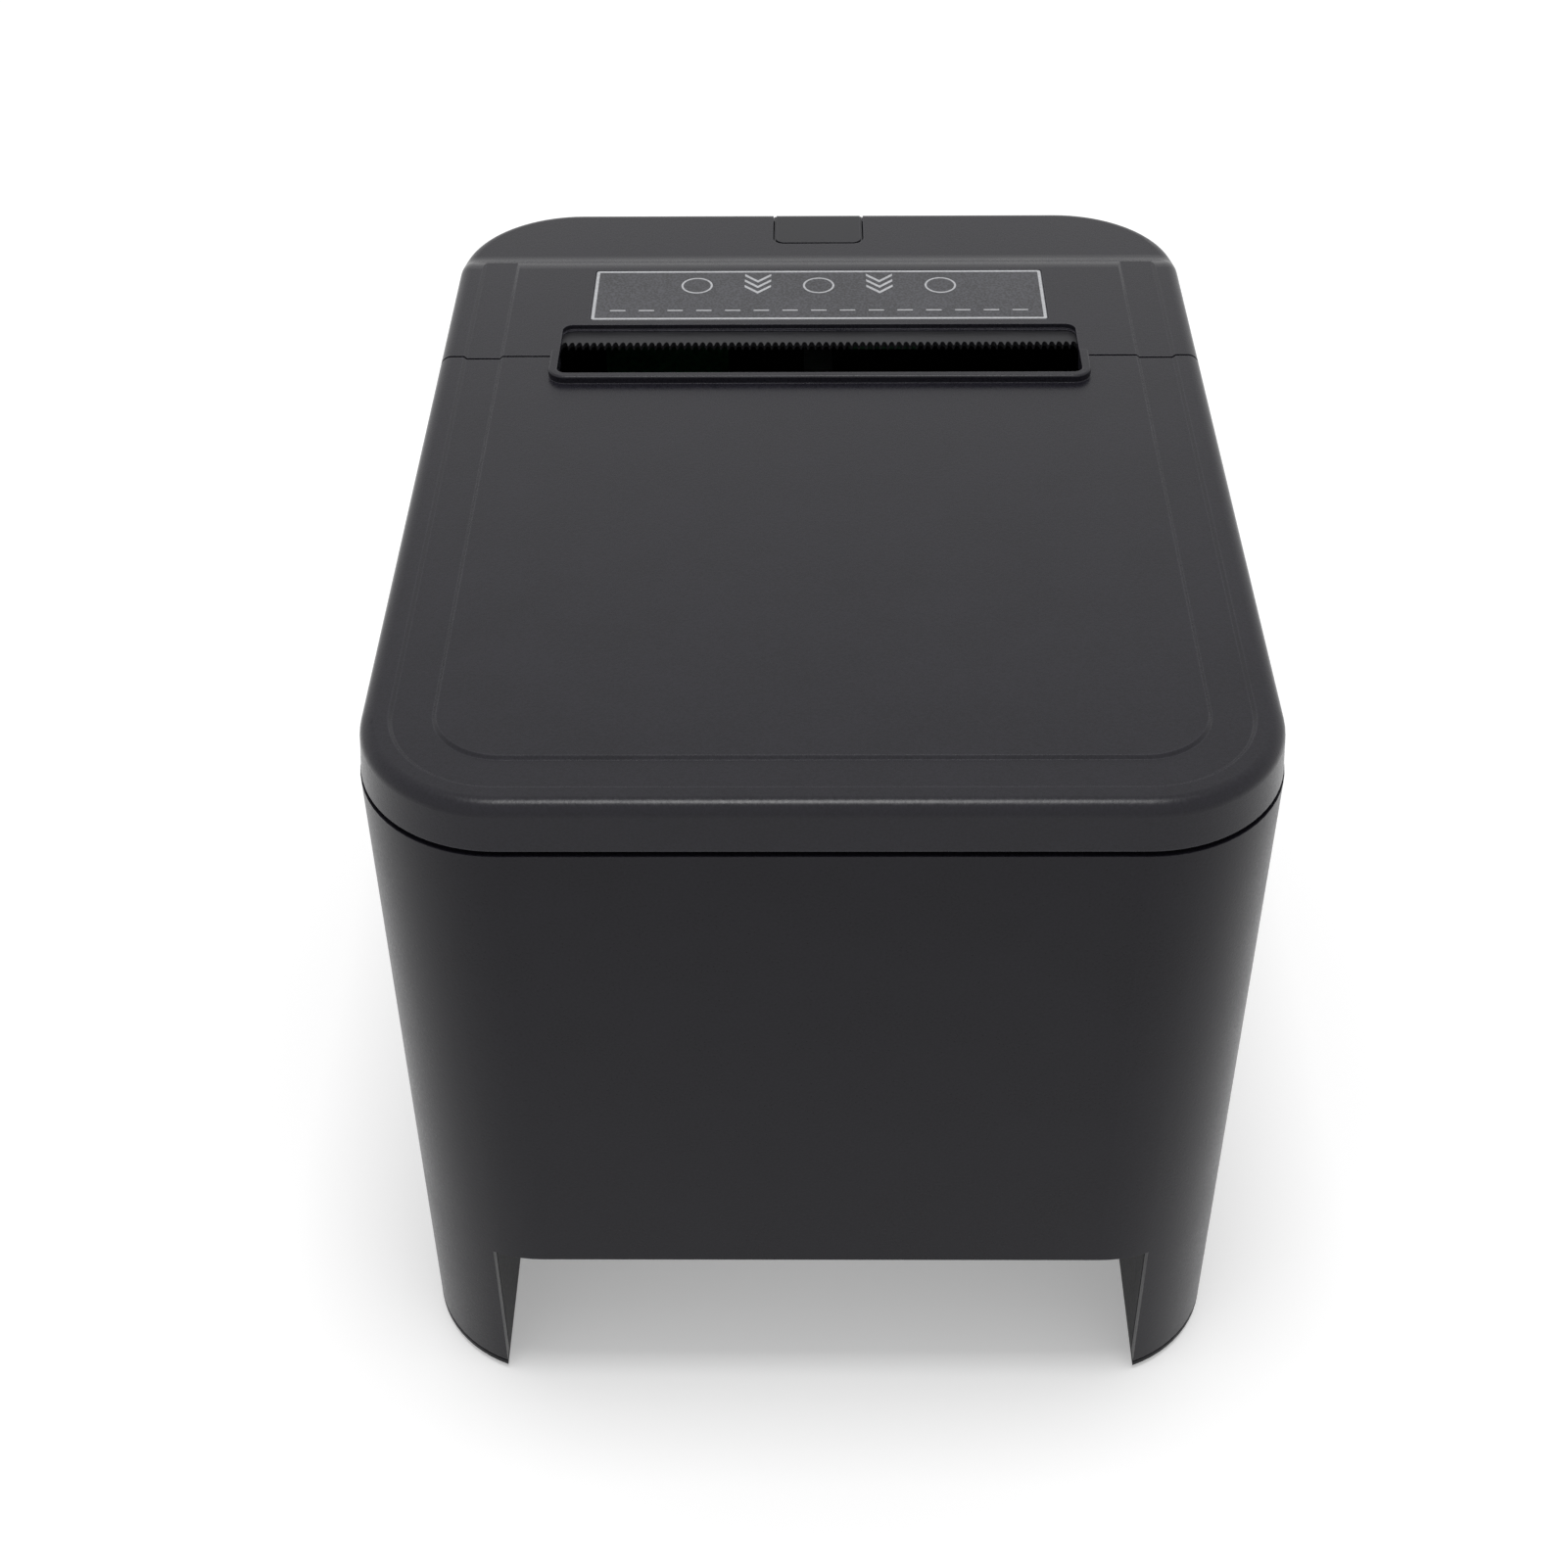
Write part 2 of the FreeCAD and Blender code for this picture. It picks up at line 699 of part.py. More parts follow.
def front_cover(form):
    """The fixed front cover: ramped top, recess for the tear bar, label bed and an opening for the button."""
    wide = half_width + PAST
    front = block("cover_front", (-wide, wide), (front_y - PAST, cover_rear),
                  (lid_bottom - 1, lid_top + PAST))
    skinned = cut("cover_shell", common("cover_part", form, front),
                  cover_hollow("cover_hollow", size("skin")))
    outer = size("rim_lip") + size("tongue_clear")
    inner = outer + size("tongue_thick")
    tongue = cut("cover_tongue_ring",
                 pad("tongue_out", "XY", (ledge_z, lid_bottom + 1), case_outline(outer)),
                 pad("tongue_in", "XY", (ledge_z - 1, lid_bottom + 2), case_outline(inner)))
    tongue = common("cover_tongue", tongue, block("tongue_front", (-wide, wide), (front_y, cover_rear),
                                                  (ledge_z - 1, lid_bottom + 1)))
    bosses = [rod("board_boss", "Z", place, (panel_top(), skin_under + 0.5), 2.5) for place in panel_holes()]
    solid = fuse("cover_solid_front", skinned, tongue, *bosses)
    ledge = tear_top + size("ledge_thick")
    recess = pad("cover_recess", "XY", (ledge, lid_top + 1), recess_outline(0))
    mouth = pad("cover_mouth", "XY", (lid_bottom - 1, ledge + 0.1), recess_outline(size("recess_ledge")))
    wide = tear_half + size("tear_clear")
    seat = block("tear_seat", (-wide, wide), (tear_edge - size("tear_depth") - size("tear_clear"), seam_y),
                 (skin_under - 0.1, tear_top))
    bed = pad("label_bed", "XY", (lid_top - size("label_recess"), lid_top + 1), label_outline(0.15))
    gap = size("button_gap")
    opening = pad("button_opening", "XY", (lid_bottom - PAST, lid_top + 1), button_outline(gap))
    hole = size("lens_radius") + size("lens_clear")
    windows = [rod("lens_hole", "Z", place, (skin_under - 1, lid_top + 1), hole)
               for place in lens_places()]
    pilots = [rod("tear_pilot", "Z", place, (skin_under - 1, tear_top + size("tear_grip")),
                  size("screw_radius") + size("screw_clear")) for place in tear_screw_places()]
    return cut("front_cover", solid, recess, mouth, seat, bed, opening, relief_ring("cover_relief"),
               *windows, *pilots)


def recess_outline(inset):
    """The recess ahead of the slot, open to the rear, with its front edge moved inwards."""
    half, corner = size("recess_width") / 2, size("recess_corner")
    front, rear = recess_front + inset, seam_y + 1
    return [(half, front + corner), (half, rear), (-half, rear), (-half, front + corner, corner),
            (corner - half, front), (half - corner, front, corner)]


def label_outline(grow):
    """The label's outline, grown by a clearance."""
    half = size("label_width") / 2 + grow
    low = front_y + size("label_setback") - grow
    return rounded((-half, half), (low, low + size("label_length") + 2 * grow), size("label_corner"))


def button_outline(grow):
    """The release button's plan, open over the front edge, with rounded rear corners."""
    half = size("button_width") / 2 + grow
    radius = size("button_corner") + grow
    back, front = front_y + size("button_length") + grow, front_y - PAST
    return [(half, front), (half, back - radius, radius), (half - radius, back),
            (radius - half, back, radius), (-half, back - radius), (-half, front)]


def panel_top():
    """Height of the upper face of the panel board."""
    return skin_under - size("panel_drop")


def panel_holes():
    """Where the panel board hangs from the front cover."""
    x, y = size("panel_width") / 2 - size("panel_edge"), panel_front + size("panel_row")
    return [(side * x, y + step) for side in (1, -1) for step in (0, size("panel_span"))]


def lens_places():
    """Where the indicator lights stand under the label."""
    y = front_y + size("label_setback") + size("lens_setback")
    return [(i * size("lens_pitch"), y) for i in (-1, 0, 1)]


def panel_pieces():
    """The board under the label, its lenses and the label film."""
    half, y = size("panel_width") / 2, panel_front
    top = panel_top()
    plate = block("panel_plate", (-half, half), (y, y + size("panel_length")),
                  (top - size("board_thick"), top))
    lights = [block("panel_light", (x - 1.2, x + 1.2), (y - 1.2, y + 1.2), (top - 0.2, top + 1))
              for x, y in lens_places()]
    plug = block("panel_plug", (-20, -6), (y + 2.5, y + 7.5), (top - size("board_thick") - 5, top - 1))
    board = fuse("panel_board", plate, plug, *lights)
    bed = lid_top - size("label_recess")
    lenses = [fuse("lens", prism("lens_stem", place, (top + 1.05, bed), size("lens_radius")),
                   prism("lens_flange", place, (skin_under - 1.2, skin_under), size("lens_collar")))
              for place in lens_places()]
    label = pad("status_label", "XY", (bed, bed + size("label_thick")), label_outline(0))
    return board, group("indicator_lenses", *lenses), label


def tear_screw_places():
    """Where the tear bar is screwed to the underside of the cover."""
    y = recess_front - 4.0
    return [(x, y) for x in (-40, 0, 40)]


def tear_bar():
    """The toothed steel bar let into the cover's underside, with round notches between narrow teeth."""
    pitch, depth = float(size("tooth_pitch")), float(size("tooth_depth"))
    count = int(float(size("tooth_count")))
    half, back = float(tear_half), -float(size("tear_depth"))
    notch = [(0.0, 1.0), (0.2, 0.85), (0.34, 0.42), (0.42, 0.0), (0.58, 0.0), (0.66, 0.42), (0.8, 0.85)]
    edge = [Vector((i + share) * pitch - half, -fall * depth, 0)
            for i in range(count) for share, fall in notch]
    corners = edge + [Vector(half, -depth, 0), Vector(half, back, 0), Vector(-half, back, 0)]
    face = Part.Face(Part.makePolygon(corners + corners[:1]))
    plate = face.extrude(Vector(0, 0, -float(size("tear_thick"))))
    blank = built("tear_blank", plate, 0, tear_edge, tear_top)
    holes = [rod("tear_hole", "Z", place, (skin_under - PAST, tear_top + 1),
                 size("screw_radius") + size("screw_clear")) for place in tear_screw_places()]
    bar = cut("tear_bar", blank, *holes)
    length = size("screw_head_thick") + size("tear_thick") + size("tear_grip") - size("screw_clear")
    start = tear_top - size("tear_thick") - size("screw_head_thick")
    return bar, group("tear_bar_screws", *[screw(place, start, length) for place in tear_screw_places()])


def lid(form):
    """The paper lid: skirted shell, raised lip round the slot, hinge lugs and bosses for the liner."""
    wide = half_width + PAST
    rear = block("lid_rear", (-wide, wide), (lid_front, rear_y + PAST), (lid_bottom - 1, lid_top + PAST))
    shell = cut("lid_shell", common("lid_part", form, rear), cover_hollow("lid_hollow", size("skirt")))
    half = size("slot_width") / 2
    slot = block("lid_slot", (-half, half), (seam_y - 1, slot_rear), (lid_bottom - 1, lid_top + PAST))
    body = cut("lid_slotted", shell, slot, relief_ring("lid_relief"))
    bosses = [rod("liner_boss", "Z", place, (liner_top(), skin_under + 0.5), 3.0) for place in liner_holes()]
    lugs = [piece for side in (1, -1) for piece in hinge_lugs(side)]
    solid = fuse("lid_solid", body, slot_lip(half), *bosses, *lugs)
    bores = [rod("lug_bore", "X", (hinge_y, hinge_z), (-half_width, half_width),
                 size("pin_radius") + size("pin_clear"))]
    pilots = [rod("liner_pilot", "Z", place, (liner_top() - 1, skin_under + 0.8),
                  size("screw_radius") + size("screw_clear")) for place in liner_holes()]
    reach_out = arm_far + size("lug_clear") + size("lug_width")
    inner = common("lug_bores", bores[0], block("lug_zone", (-reach_out, reach_out), (hinge_y - PAST, rear_y),
                                                (lid_bottom, lid_top)))
    return cut("lid", solid, inner, *pilots)


def slot_lip(half):
    """The raised U round the slot, with a rounded top."""
    wide, corner, inner = half + size("lip_thick"), size("lip_corner"), size("lip_bend")
    back, top = slot_rear + size("lip_rear"), lid_top + size("lip_proud")
    outline = [(wide, lid_front), (wide, back - corner, corner), (wide - corner, back),
               (corner - wide, back, corner), (-wide, back - corner), (-wide, lid_front), (-half, lid_front),
               (-half, slot_rear - inner, inner, -1), (inner - half, slot_rear),
               (half - inner, slot_rear, inner, -1), (half, slot_rear - inner), (half, lid_front)]
    ring = pad("lip_ring", "XY", (skin_under + 0.5, top), outline)
    doc.recompute()
    lip = doc.addObject("Part::Fillet", "slot_lip")
    lip.Base = ring
    radius = float(size("lip_round"))
    lip.Edges = [(i, radius, radius) for i, edge in enumerate(ring.Shape.Edges, start=1)
                 if edge.BoundBox.ZMin > float(top) - 1e-4 and edge.BoundBox.YMax > float(lid_front) + 1e-4]
    return lip


def hinge_lugs(side):
    """Two lugs of the lid, one on each side of a bracket arm."""
    near = arm_near - size("lug_clear")
    far = arm_far + size("lug_clear")
    radius = size("lug_radius")
    pieces = []
    for low, high in ((near - size("lug_width"), near), (far, far + size("lug_width"))):
        xs = (side * low, side * high)
        pieces.append(rod("lug_eye", "X", (hinge_y, hinge_z), xs, radius))
        pieces.append(block("lug_web", xs, (hinge_y - radius, hinge_y + radius + 0.5),
                            (hinge_z, skin_under + 0.5)))
    return pieces


def liner_top():
    """Height of the upper face of the lid liner."""
    return skin_under - size("liner_drop")


def liner_holes():
    """Where the liner is screwed to the lid."""
    x = size("liner_width") / 2 - size("liner_corner")
    rows = (liner_front + size("liner_boss_front"), liner_rear - size("liner_boss_rear"))
    return [(side * x, y) for side in (1, -1) for y in rows]


def lid_liner():
    """The inner cover of the lid, with ribs that stiffen it and stop the roll from riding up."""
    top, thick = liner_top(), size("liner_thick")
    half, rib, inset = size("liner_width") / 2, size("liner_rib"), size("liner_inset")
    plate = pad("liner_plate", "XY", (top - thick, top),
                rounded((-half, half), (liner_front, liner_rear), size("liner_corner")))
    front, rear = liner_front + inset, liner_rear - inset
    out = half - inset
    ribs = [block("liner_rib", (side * out, side * (out + rib)), (front, rear), (top - thick - 2 * rib, top))
            for side in (1, -1)]
    step = (rear - front) / 4
    rows = [front + i * step for i in (1, 2, 3)]
    cross = [block("liner_cross", (-out, out), (y, y + rib), (top - thick - rib, top)) for y in rows]
    holes = [rod("liner_hole", "Z", place, (top - PAST, top + 1), size("screw_radius") + size("screw_clear"))
             for place in liner_holes()]
    liner = cut("lid_liner", fuse("liner_solid", plate, *ribs, *cross), *holes)
    start = top - thick - size("screw_head_thick")
    length = size("screw_head_thick") + thick + size("liner_drop") + 0.6
    return liner, group("liner_screws", *[screw(place, start, length) for place in liner_holes()])


def platen_bracket():
    """The steel bracket under the liner whose cheeks carry the platen's bushings."""
    top = liner_top() - size("liner_thick")
    radius = size("bushing_radius") + 1.5
    lower = platen_z - radius * 0.7
    outline = [(platen_y + 13, top), (slot_rear + 1, top), (slot_rear - 1.5, platen_z + 7),
               (platen_y - radius, platen_z + 1.5), (platen_y - radius * 0.7, lower),
               (platen_y + radius * 0.7, lower), (platen_y + radius + 0.5, platen_z + 1)]
    cheeks = both(lambda side: pad("bracket_cheek", "YZ", (side * cheek_in, side * cheek_out), outline))
    roof = block("bracket_roof", (-cheek_in - 0.5, cheek_in + 0.5), (slot_rear + 1, platen_y + 13),
                 (top - size("sheet_thick"), top))
    bore = rod("bracket_bore", "X", (platen_y, platen_z), (-half_width, half_width),
               size("bushing_radius") + size("pin_fit"))
    bracket = cut("platen_bracket", fuse("bracket_solid", roof, *cheeks), bore)
    collar, sleeve, bore_r = size("bushing_radius") + 1.2, size("bushing_radius"), size("shaft_radius")
    bore_r = bore_r + size("shaft_fit")
    tail = plate_out - cheek_in
    profile = [(-0.5, bore_r), (tail, bore_r), (tail, sleeve), (0, sleeve), (0, collar), (-0.5, collar)]
    turned = {1: Rotation(), -1: Rotation(Vector(0, 0, 1), 180)}
    bushings = both(lambda side: spin("bushing", profile, side * cheek_in, platen_y, platen_z, turned[side]))
    return bracket, group("platen_bushings", *bushings)


def platen():
    """Rubber roller, stepped steel shaft and drive gear, which turn together."""
    half = size("platen_length") / 2
    shaft, fit = size("shaft_radius"), size("shaft_fit")
    roller_profile = [(-half, shaft + fit), (half, shaft + fit), (half, size("platen_radius")),
                      (-half, size("platen_radius"))]
    roller = spin("platen_roller", roller_profile, 0, platen_y, platen_z)
    end = hook_out + 0.6
    bar = spin("platen_shaft", [(-end, 0), (end, 0), (end, shaft - 0.5), (end - 0.5, shaft),
                                (0.5 - end, shaft), (-end, shaft - 0.5)], 0, platen_y, platen_z)
    wheel = gear("platen_gear", "platen_teeth", platen_y, platen_z, shaft + fit, 0.0)
    return roller, bar, wheel


def gear(name, teeth_name, y, z, bore, phase):
    """A spur gear with involute flanks, turned by a phase in degrees from a tooth that points up."""
    teeth = int(float(size(teeth_name)))
    module = float(size("gear_module"))
    pitch = module * teeth / 2
    tip, root = pitch + module, pitch - 1.25 * module
    base = pitch * math.cos(math.radians(20))
    slack = float(size("gear_backlash")) / (2 * pitch)
    middle = math.pi / (2 * teeth) - slack

    def half_angle(radius):
        lean = math.acos(min(base / radius, 1.0))
        at_pitch = math.acos(base / pitch)
        return middle + (math.tan(at_pitch) - at_pitch) - (math.tan(lean) - lean)

    low = max(base, root)
    radii = [root] + [low + (tip - low) * share for share in (0.0, 0.5, 1.0)]
    flank = [(r, half_angle(max(r, low))) for r in radii]
    corners = []
    for i in range(teeth):
        centre = math.radians(90 + phase) + 2 * math.pi * i / teeth
        for sign, side in ((-1, flank), (1, flank[::-1])):
            turned = [(r, centre + sign * a) for r, a in side]
            corners += [Vector(0, r * math.cos(a), r * math.sin(a)) for r, a in turned]
    face = Part.Face(Part.makePolygon(corners + corners[:1]))
    solid = face.extrude(Vector(float(gear_out - gear_in), 0, 0))
    blank = built(name + "_blank", solid, gear_in, y, z)
    return cut(name, blank, rod(name + "_bore", "X", (y, z), (gear_in - 1, gear_out + 1), bore))


def drive_gears():
    """Idler on its stud and pinion with the motor's shaft, turned so that their teeth mesh."""
    to_platen = math.degrees(math.atan2(float(platen_z - idler_z), float(platen_y - idler_y)))
    to_motor = math.degrees(math.atan2(float(motor_z - idler_z), float(motor_y - idler_y)))
    platen_count, idler_count, pinion_count = [int(float(size(name)))
                                               for name in ("platen_teeth", "idler_teeth", "pinion_teeth")]
    # The platen has a tooth pointing up. A gap of the next gear has to face the tooth on the line of centres.
    offset = ((to_platen + 180 - 90) % (360 / platen_count)) * platen_count / idler_count
    idler_phase = to_platen - 90 + offset + 180 / idler_count
    offset = ((to_motor - 90 - idler_phase) % (360 / idler_count)) * idler_count / pinion_count
    pinion_phase = to_motor + 180 - 90 + offset + 180 / pinion_count
    idler = gear("idler_gear", "idler_teeth", idler_y, idler_z, STUD_RADIUS + size("pin_clear"), idler_phase)
    wheel = gear("pinion_wheel", "pinion_teeth", motor_y, motor_z, 0.8, pinion_phase)
    shaft = rod("motor_shaft", "X", (motor_y, motor_z), (plate_in - 8, gear_out + 0.5), size("motor_shaft"))
    return idler, fuse("motor_pinion", wheel, shaft)


STUD_RADIUS = 2.0


def mech_frame():
    """The print mechanism's steel frame: slotted side plates, a cross plate and a bridge behind the head."""
    top = platen_z + 4.3
    open_half = size("bushing_radius") + 0.4
    lean = (top - platen_z) * reach_z / reach_y + 0.6
    plate = [(frame_front, frame_bottom), (frame_rear, frame_bottom), (frame_rear, platen_z - 8),
             (platen_y + open_half + 3, top), (platen_y + open_half, top),
             (platen_y + open_half, platen_z, open_half, -1), (platen_y, platen_z - open_half, open_half, -1),
             (platen_y - open_half, platen_z), (platen_y - open_half - lean, top),
             (platen_y - open_half - lean - 4, top), (frame_front, latch_z + 8)]
    latch_hole = Ring(latch_y, latch_z, size("latch_rod") + size("pin_clear"))
    motor_hole = Ring(motor_y, motor_z, 3.6)
    left = pad("frame_left", "YZ", (plate_in, plate_out), plate, latch_hole, motor_hole)
    right = pad("frame_right", "YZ", (-plate_out, -plate_in), plate, latch_hole)
    cross = block("frame_cross", (-plate_in - 0.5, plate_in + 0.5), (frame_front, frame_rear),
                  (frame_bottom, frame_bottom + size("sheet_thick")))
    near = size("bridge_out")
    bridge = pad("frame_bridge", "YZ", (-plate_in - 0.5, plate_in + 0.5),
                 head_strip(-size("head_low"), 3, near, near + size("sheet_thick")))
    stud = rod("idler_stud", "X", (idler_y, idler_z), (plate_out - 0.5, gear_out + 0.4), STUD_RADIUS)
    return fuse("mech_frame", left, right, cross, bridge, stud)


def head_strip(low, high, near, far):
    """A strip beside the platen, between two heights along the head and two distances from its face."""
    tilt = size("head_tilt")
    across_y, across_z = -cosine(tilt), -sine(tilt)
    along_y, along_z = -sine(tilt), cosine(tilt)
    face = size("platen_radius") + size("head_gap")

    def corner(up, out):
        away = face + out
        return (platen_y + across_y * away + along_y * up, platen_z + across_z * away + along_z * up)

    return [corner(low, near), corner(high, near), corner(high, far), corner(low, far)]


def print_head():
    """The ceramic head strip, its finned heat sink and the leaf spring that presses it to the platen."""
    half = size("platen_length") / 2 - 0.5
    thick, sink = size("head_thick"), size("sink_thick")
    low, high = -size("head_low"), size("head_high")
    root, tip = thick + sink / 2 - 0.2, thick + sink
    strip = pad("print_head", "YZ", (-half, half), head_strip(low, high, 0, thick))
    plate = pad("sink_plate", "YZ", (-half, half), head_strip(low - 1, high, thick, thick + sink / 2))
    fins = [pad("sink_fin", "YZ", (-half, half), head_strip(up, up + 1.4, root, tip))
            for up in (low - 1, low + 1.8, low + 4.6, high - 4.2, high - 1.4)]
    seat = pad("sink_seat", "YZ", (-12, 12), head_strip(-3.2, 1.0, root, tip))
    heatsink = fuse("head_heatsink", plate, *fins, seat)
    far = size("bridge_out")
    wide = (-size("spring_width") / 2, size("spring_width") / 2)
    bend = head_strip(low + 0.5, low + 2.5, far - 0.5, far)
    rise = head_strip(-1.6, -0.6, tip, tip + 0.5)
    leaf = pad("spring_leaf", "YZ", wide, [bend[0], bend[1], rise[1], rise[0]])
    foot = pad("spring_foot", "YZ", wide, head_strip(low + 0.5, 2.0, far - 0.5, far))
    return strip, heatsink, fuse("head_spring", leaf, foot)


def paper_guide():
    """The curved guide that turns the paper up under the platen, held between the side plates."""
    near = size("platen_radius") + 1.2
    far = near + 1.4

    def at(radius, angle):
        return (platen_y + radius * cosine(angle), platen_z + radius * sine(angle))

    inner = at(near, 250), at(near, 330)
    outer = at(far, 330), at(far, 250)
    tail = (trough_front - 0.4, inner[1][1] + 0.6)
    outline = [inner[0] + (near, 1), inner[1], tail, (tail[0], tail[1] - 1.6), outer[0] + (far, -1), outer[1]]
    return pad("paper_guide", "YZ", (-plate_in, plate_in), outline)


def feed_motor():
    """The stepper motor on the left side plate, with its mounting ears."""
    face = plate_in
    back = face - size("motor_length")
    can = rod("motor_can", "X", (motor_y, motor_z), (back, face - 1.2), size("motor_radius"))
    radius = size("motor_radius")
    ears = block("motor_ears", (face - 1.4, face), (motor_y - radius, motor_y + radius),
                 (motor_z - 5, motor_z + 5))
    boss = rod("motor_boss", "X", (motor_y, motor_z), (face - 1, face + 0.8), 3.4)
    cap = rod("motor_cap", "X", (motor_y, motor_z), (back - 1.5, back + 0.5), 5.0)
    bore = rod("motor_bore", "X", (motor_y, motor_z), (plate_in - 9, face + 2),
               size("motor_shaft") + size("pin_clear"))
    return cut("feed_motor", fuse("motor_solid", can, ears, boss, cap), bore)


def inner_chassis():
    """The moulded inner frame: paper trough with cheeks, a shelf for the mechanism and legs to the floor."""
    def trough(name, half, radius, top):
        outline = [(roll_y - radius, top), (roll_y - radius, roll_z, radius),
                   (roll_y, roll_z - radius, radius), (roll_y + radius, roll_z), (roll_y + radius, top)]
        return pad(name, "YZ", (-half, half), outline)

    room = trough("trough_in", trough_half, size("roll_radius"), trough_top + 1)
    wall, wide, leg = size("trough_wall"), trough_out, size("leg_length")
    gate = block("trough_gate", (-trough_half, trough_half), (trough_front - 1, trough_front + wall + 1),
                 (platen_z - 3.2, trough_top + 1))
    shelf = block("chassis_shelf", (-wide, wide), (frame_front, roll_y), (shelf_top - wall, shelf_top))
    front_legs = both(lambda side: block("front_leg", (side * (wide - wall), side * wide),
                                         (frame_front, frame_front + leg), (floor_top, shelf_top - 1)))
    rear_end = panel_y - size("panel_thick") - 3
    rear_legs = both(lambda side: block("rear_leg", (side * (wide - wall), side * wide),
                                        (rear_end - leg, rear_end), (floor_top, roll_z - 20)))
    tie = block("front_tie", (-wide, wide), (frame_front, frame_front + wall),
                (floor_top + 30, shelf_top - 1))
    outer = trough("trough_out", trough_out, roll_out, trough_top)
    solid = fuse("chassis_solid", outer, shelf, tie, *front_legs, *rear_legs)
    return cut("inner_chassis", solid, room, gate)


def hinge_pieces():
    """Brackets on the rear wall, which pass under the lid's skirt and carry the hinge pins."""
    radius, arm = size("arm_radius"), size("arm_half")
    post = hinge_y - size("post_reach")
    front = post - size("post_thick")
    high = ledge_z - size("seat_clear")
    low = high - size("seat_height")
    outline = [(inner_y, low), (inner_y, high), (post, high), (post, hinge_z - arm), (hinge_y, hinge_z - arm),
               (hinge_y, hinge_z + arm), (front, hinge_z + arm), (front, high - size("post_thick"))]
    brackets, pins = [], []
    for side in (1, -1):
        plate = pad("bracket_plate", "YZ", (side * arm_near, side * arm_far), outline)
        room = pad("bracket_room", "XY", (low - 1, hinge_z + PAST), case_outline(size("case_wall")))
        plate = common("bracket_arm", plate, room)
        eye = rod("bracket_eye", "X", (hinge_y, hinge_z), (side * arm_near, side * arm_far), radius)
        bore = rod("bracket_pin_bore", "X", (hinge_y, hinge_z), (side * (arm_near - 1), side * (arm_far + 1)),
                   size("pin_radius") + size("pin_fit"))
        brackets.append(cut("bracket", fuse("bracket_blank", plate, eye), bore))
        ends = size("lug_width")
        pins.append(rod("pin", "X", (hinge_y, hinge_z), (side * (arm_near - ends), side * (arm_far + ends)),
                        size("pin_radius")))
    return group("hinge_brackets", *brackets), group("hinge_pins", *pins)


def release_button(form):
    """The release button: a cap cut from the cover's own form, with a retaining flange and a stem."""
    low = front_top - size("button_skirt")
    plan = pad("button_plan", "XY", (low, lid_top + 1), button_outline(0))
    edge = pad("button_edge", "XY", (low, front_top - size("button_step")),
               button_outline(size("button_gap") - size("button_clear")))
    cap = common("button_cap", form, fuse("button_stepped", plan, edge))
    half, wall = size("button_width") / 2, size("button_wall")
    back = front_y + size("button_length")
    room = block("button_room", (wall - half, half - wall), (front_y + wall, back - wall),
                 (lid_bottom - 1, front_top - wall))
    flange_top = front_under - size("press_clear")
    edge = half + size("button_gap") + size("button_flange")
    far, flange_low = back + size("button_gap") + size("button_flange"), flange_top - 1.4
    flange = block("button_flange", (-edge, edge), (front_y + 4.5, far), (flange_low, flange_top))
    bridge = block("button_bridge", (-half + 0.5, half - 0.5), (front_y + 4.5, back - 0.5),
                   (flange_low, front_top - 1))
    side = size("stem_side") / 2
    stem_y = stem_place()
    stem = block("button_stem", (-side, side), (stem_y - side, stem_y + side),
                 (flange_top - size("stem_length"), flange_top - 0.5))
    return fuse("release_button", cut("button_shell", cap, room), flange, bridge, stem)


def stem_place():
    """Where the button's stem meets the latch lever."""
    return front_y + size("button_length") - 5.5


def latch_lever():
    """The cross rod with a hook at each end and a tail that the button's stem pushes."""
    bar = rod("latch_bar", "X", (latch_y, latch_z), (-hook_out, hook_out), size("latch_rod"))
    clear = size("shaft_radius") + 0.45
    nose_y = platen_y - clear - 0.5
    throat = platen_y - clear - 4
    hook = [(latch_y - 2.5, latch_z - 2.5), (latch_y + 2.5, latch_z - 2.5), (throat, platen_z - 1),
            (throat, platen_z + 1.2), (nose_y, platen_z + 1.2), (nose_y, platen_z + 2.4),
            (throat - 0.5, platen_z + 4), (latch_y - 1, latch_z + 5)]
    hooks = both(lambda side: pad("latch_hook", "YZ", (side * hook_in, side * hook_out), hook))
    flange_top = front_under - size("press_clear")
    pad_top = flange_top - size("stem_length") - size("press_clear")
    end = stem_place()
    tail = pad("latch_tail", "YZ", (-3.0, 3.0), [
        (latch_y + 1, latch_z - 1.5), (latch_y + 1, latch_z + 1.5), (end + 4, pad_top), (end - 4, pad_top),
        (end - 4, pad_top - 2), (end + 4, pad_top - 2.6)])
    return fuse("latch_lever", bar, tail, *hooks)


def feed_place():
    """Centre of the feed button on the front wall."""
    return size("feed_offset"), lid_bottom - size("feed_drop")


def feed_pieces():
    """The feed button, flush with the front wall, and the switch board behind it."""
    x, z = feed_place()
    inner = front_y + size("case_wall")
    face, lip = front_y + 0.1, inner + 0.2
    radius = size("feed_radius")
    profile = [(face, 0), (lip + 1.2, 0), (lip + 1.2, size("feed_flange")), (lip, size("feed_flange")),
               (lip, radius), (face + 0.6, radius), (face, radius - 0.6)]
    profile = [(u - face, v) for u, v in profile]
    button = spin("feed_button", profile, x, face, z, Rotation(Vector(0, 0, 1), 90))
    board_y = front_y + size("feed_board")
    board = block("feed_plate", (x - 13, x + 13), (board_y, board_y + size("board_thick")), (z - 7, z + 7))
    tact = block("feed_tact", (x - 3, x + 3), (lip + 2.6, board_y + 0.5), (z - 3, z + 3))
    return button, fuse("feed_switch", board, tact)


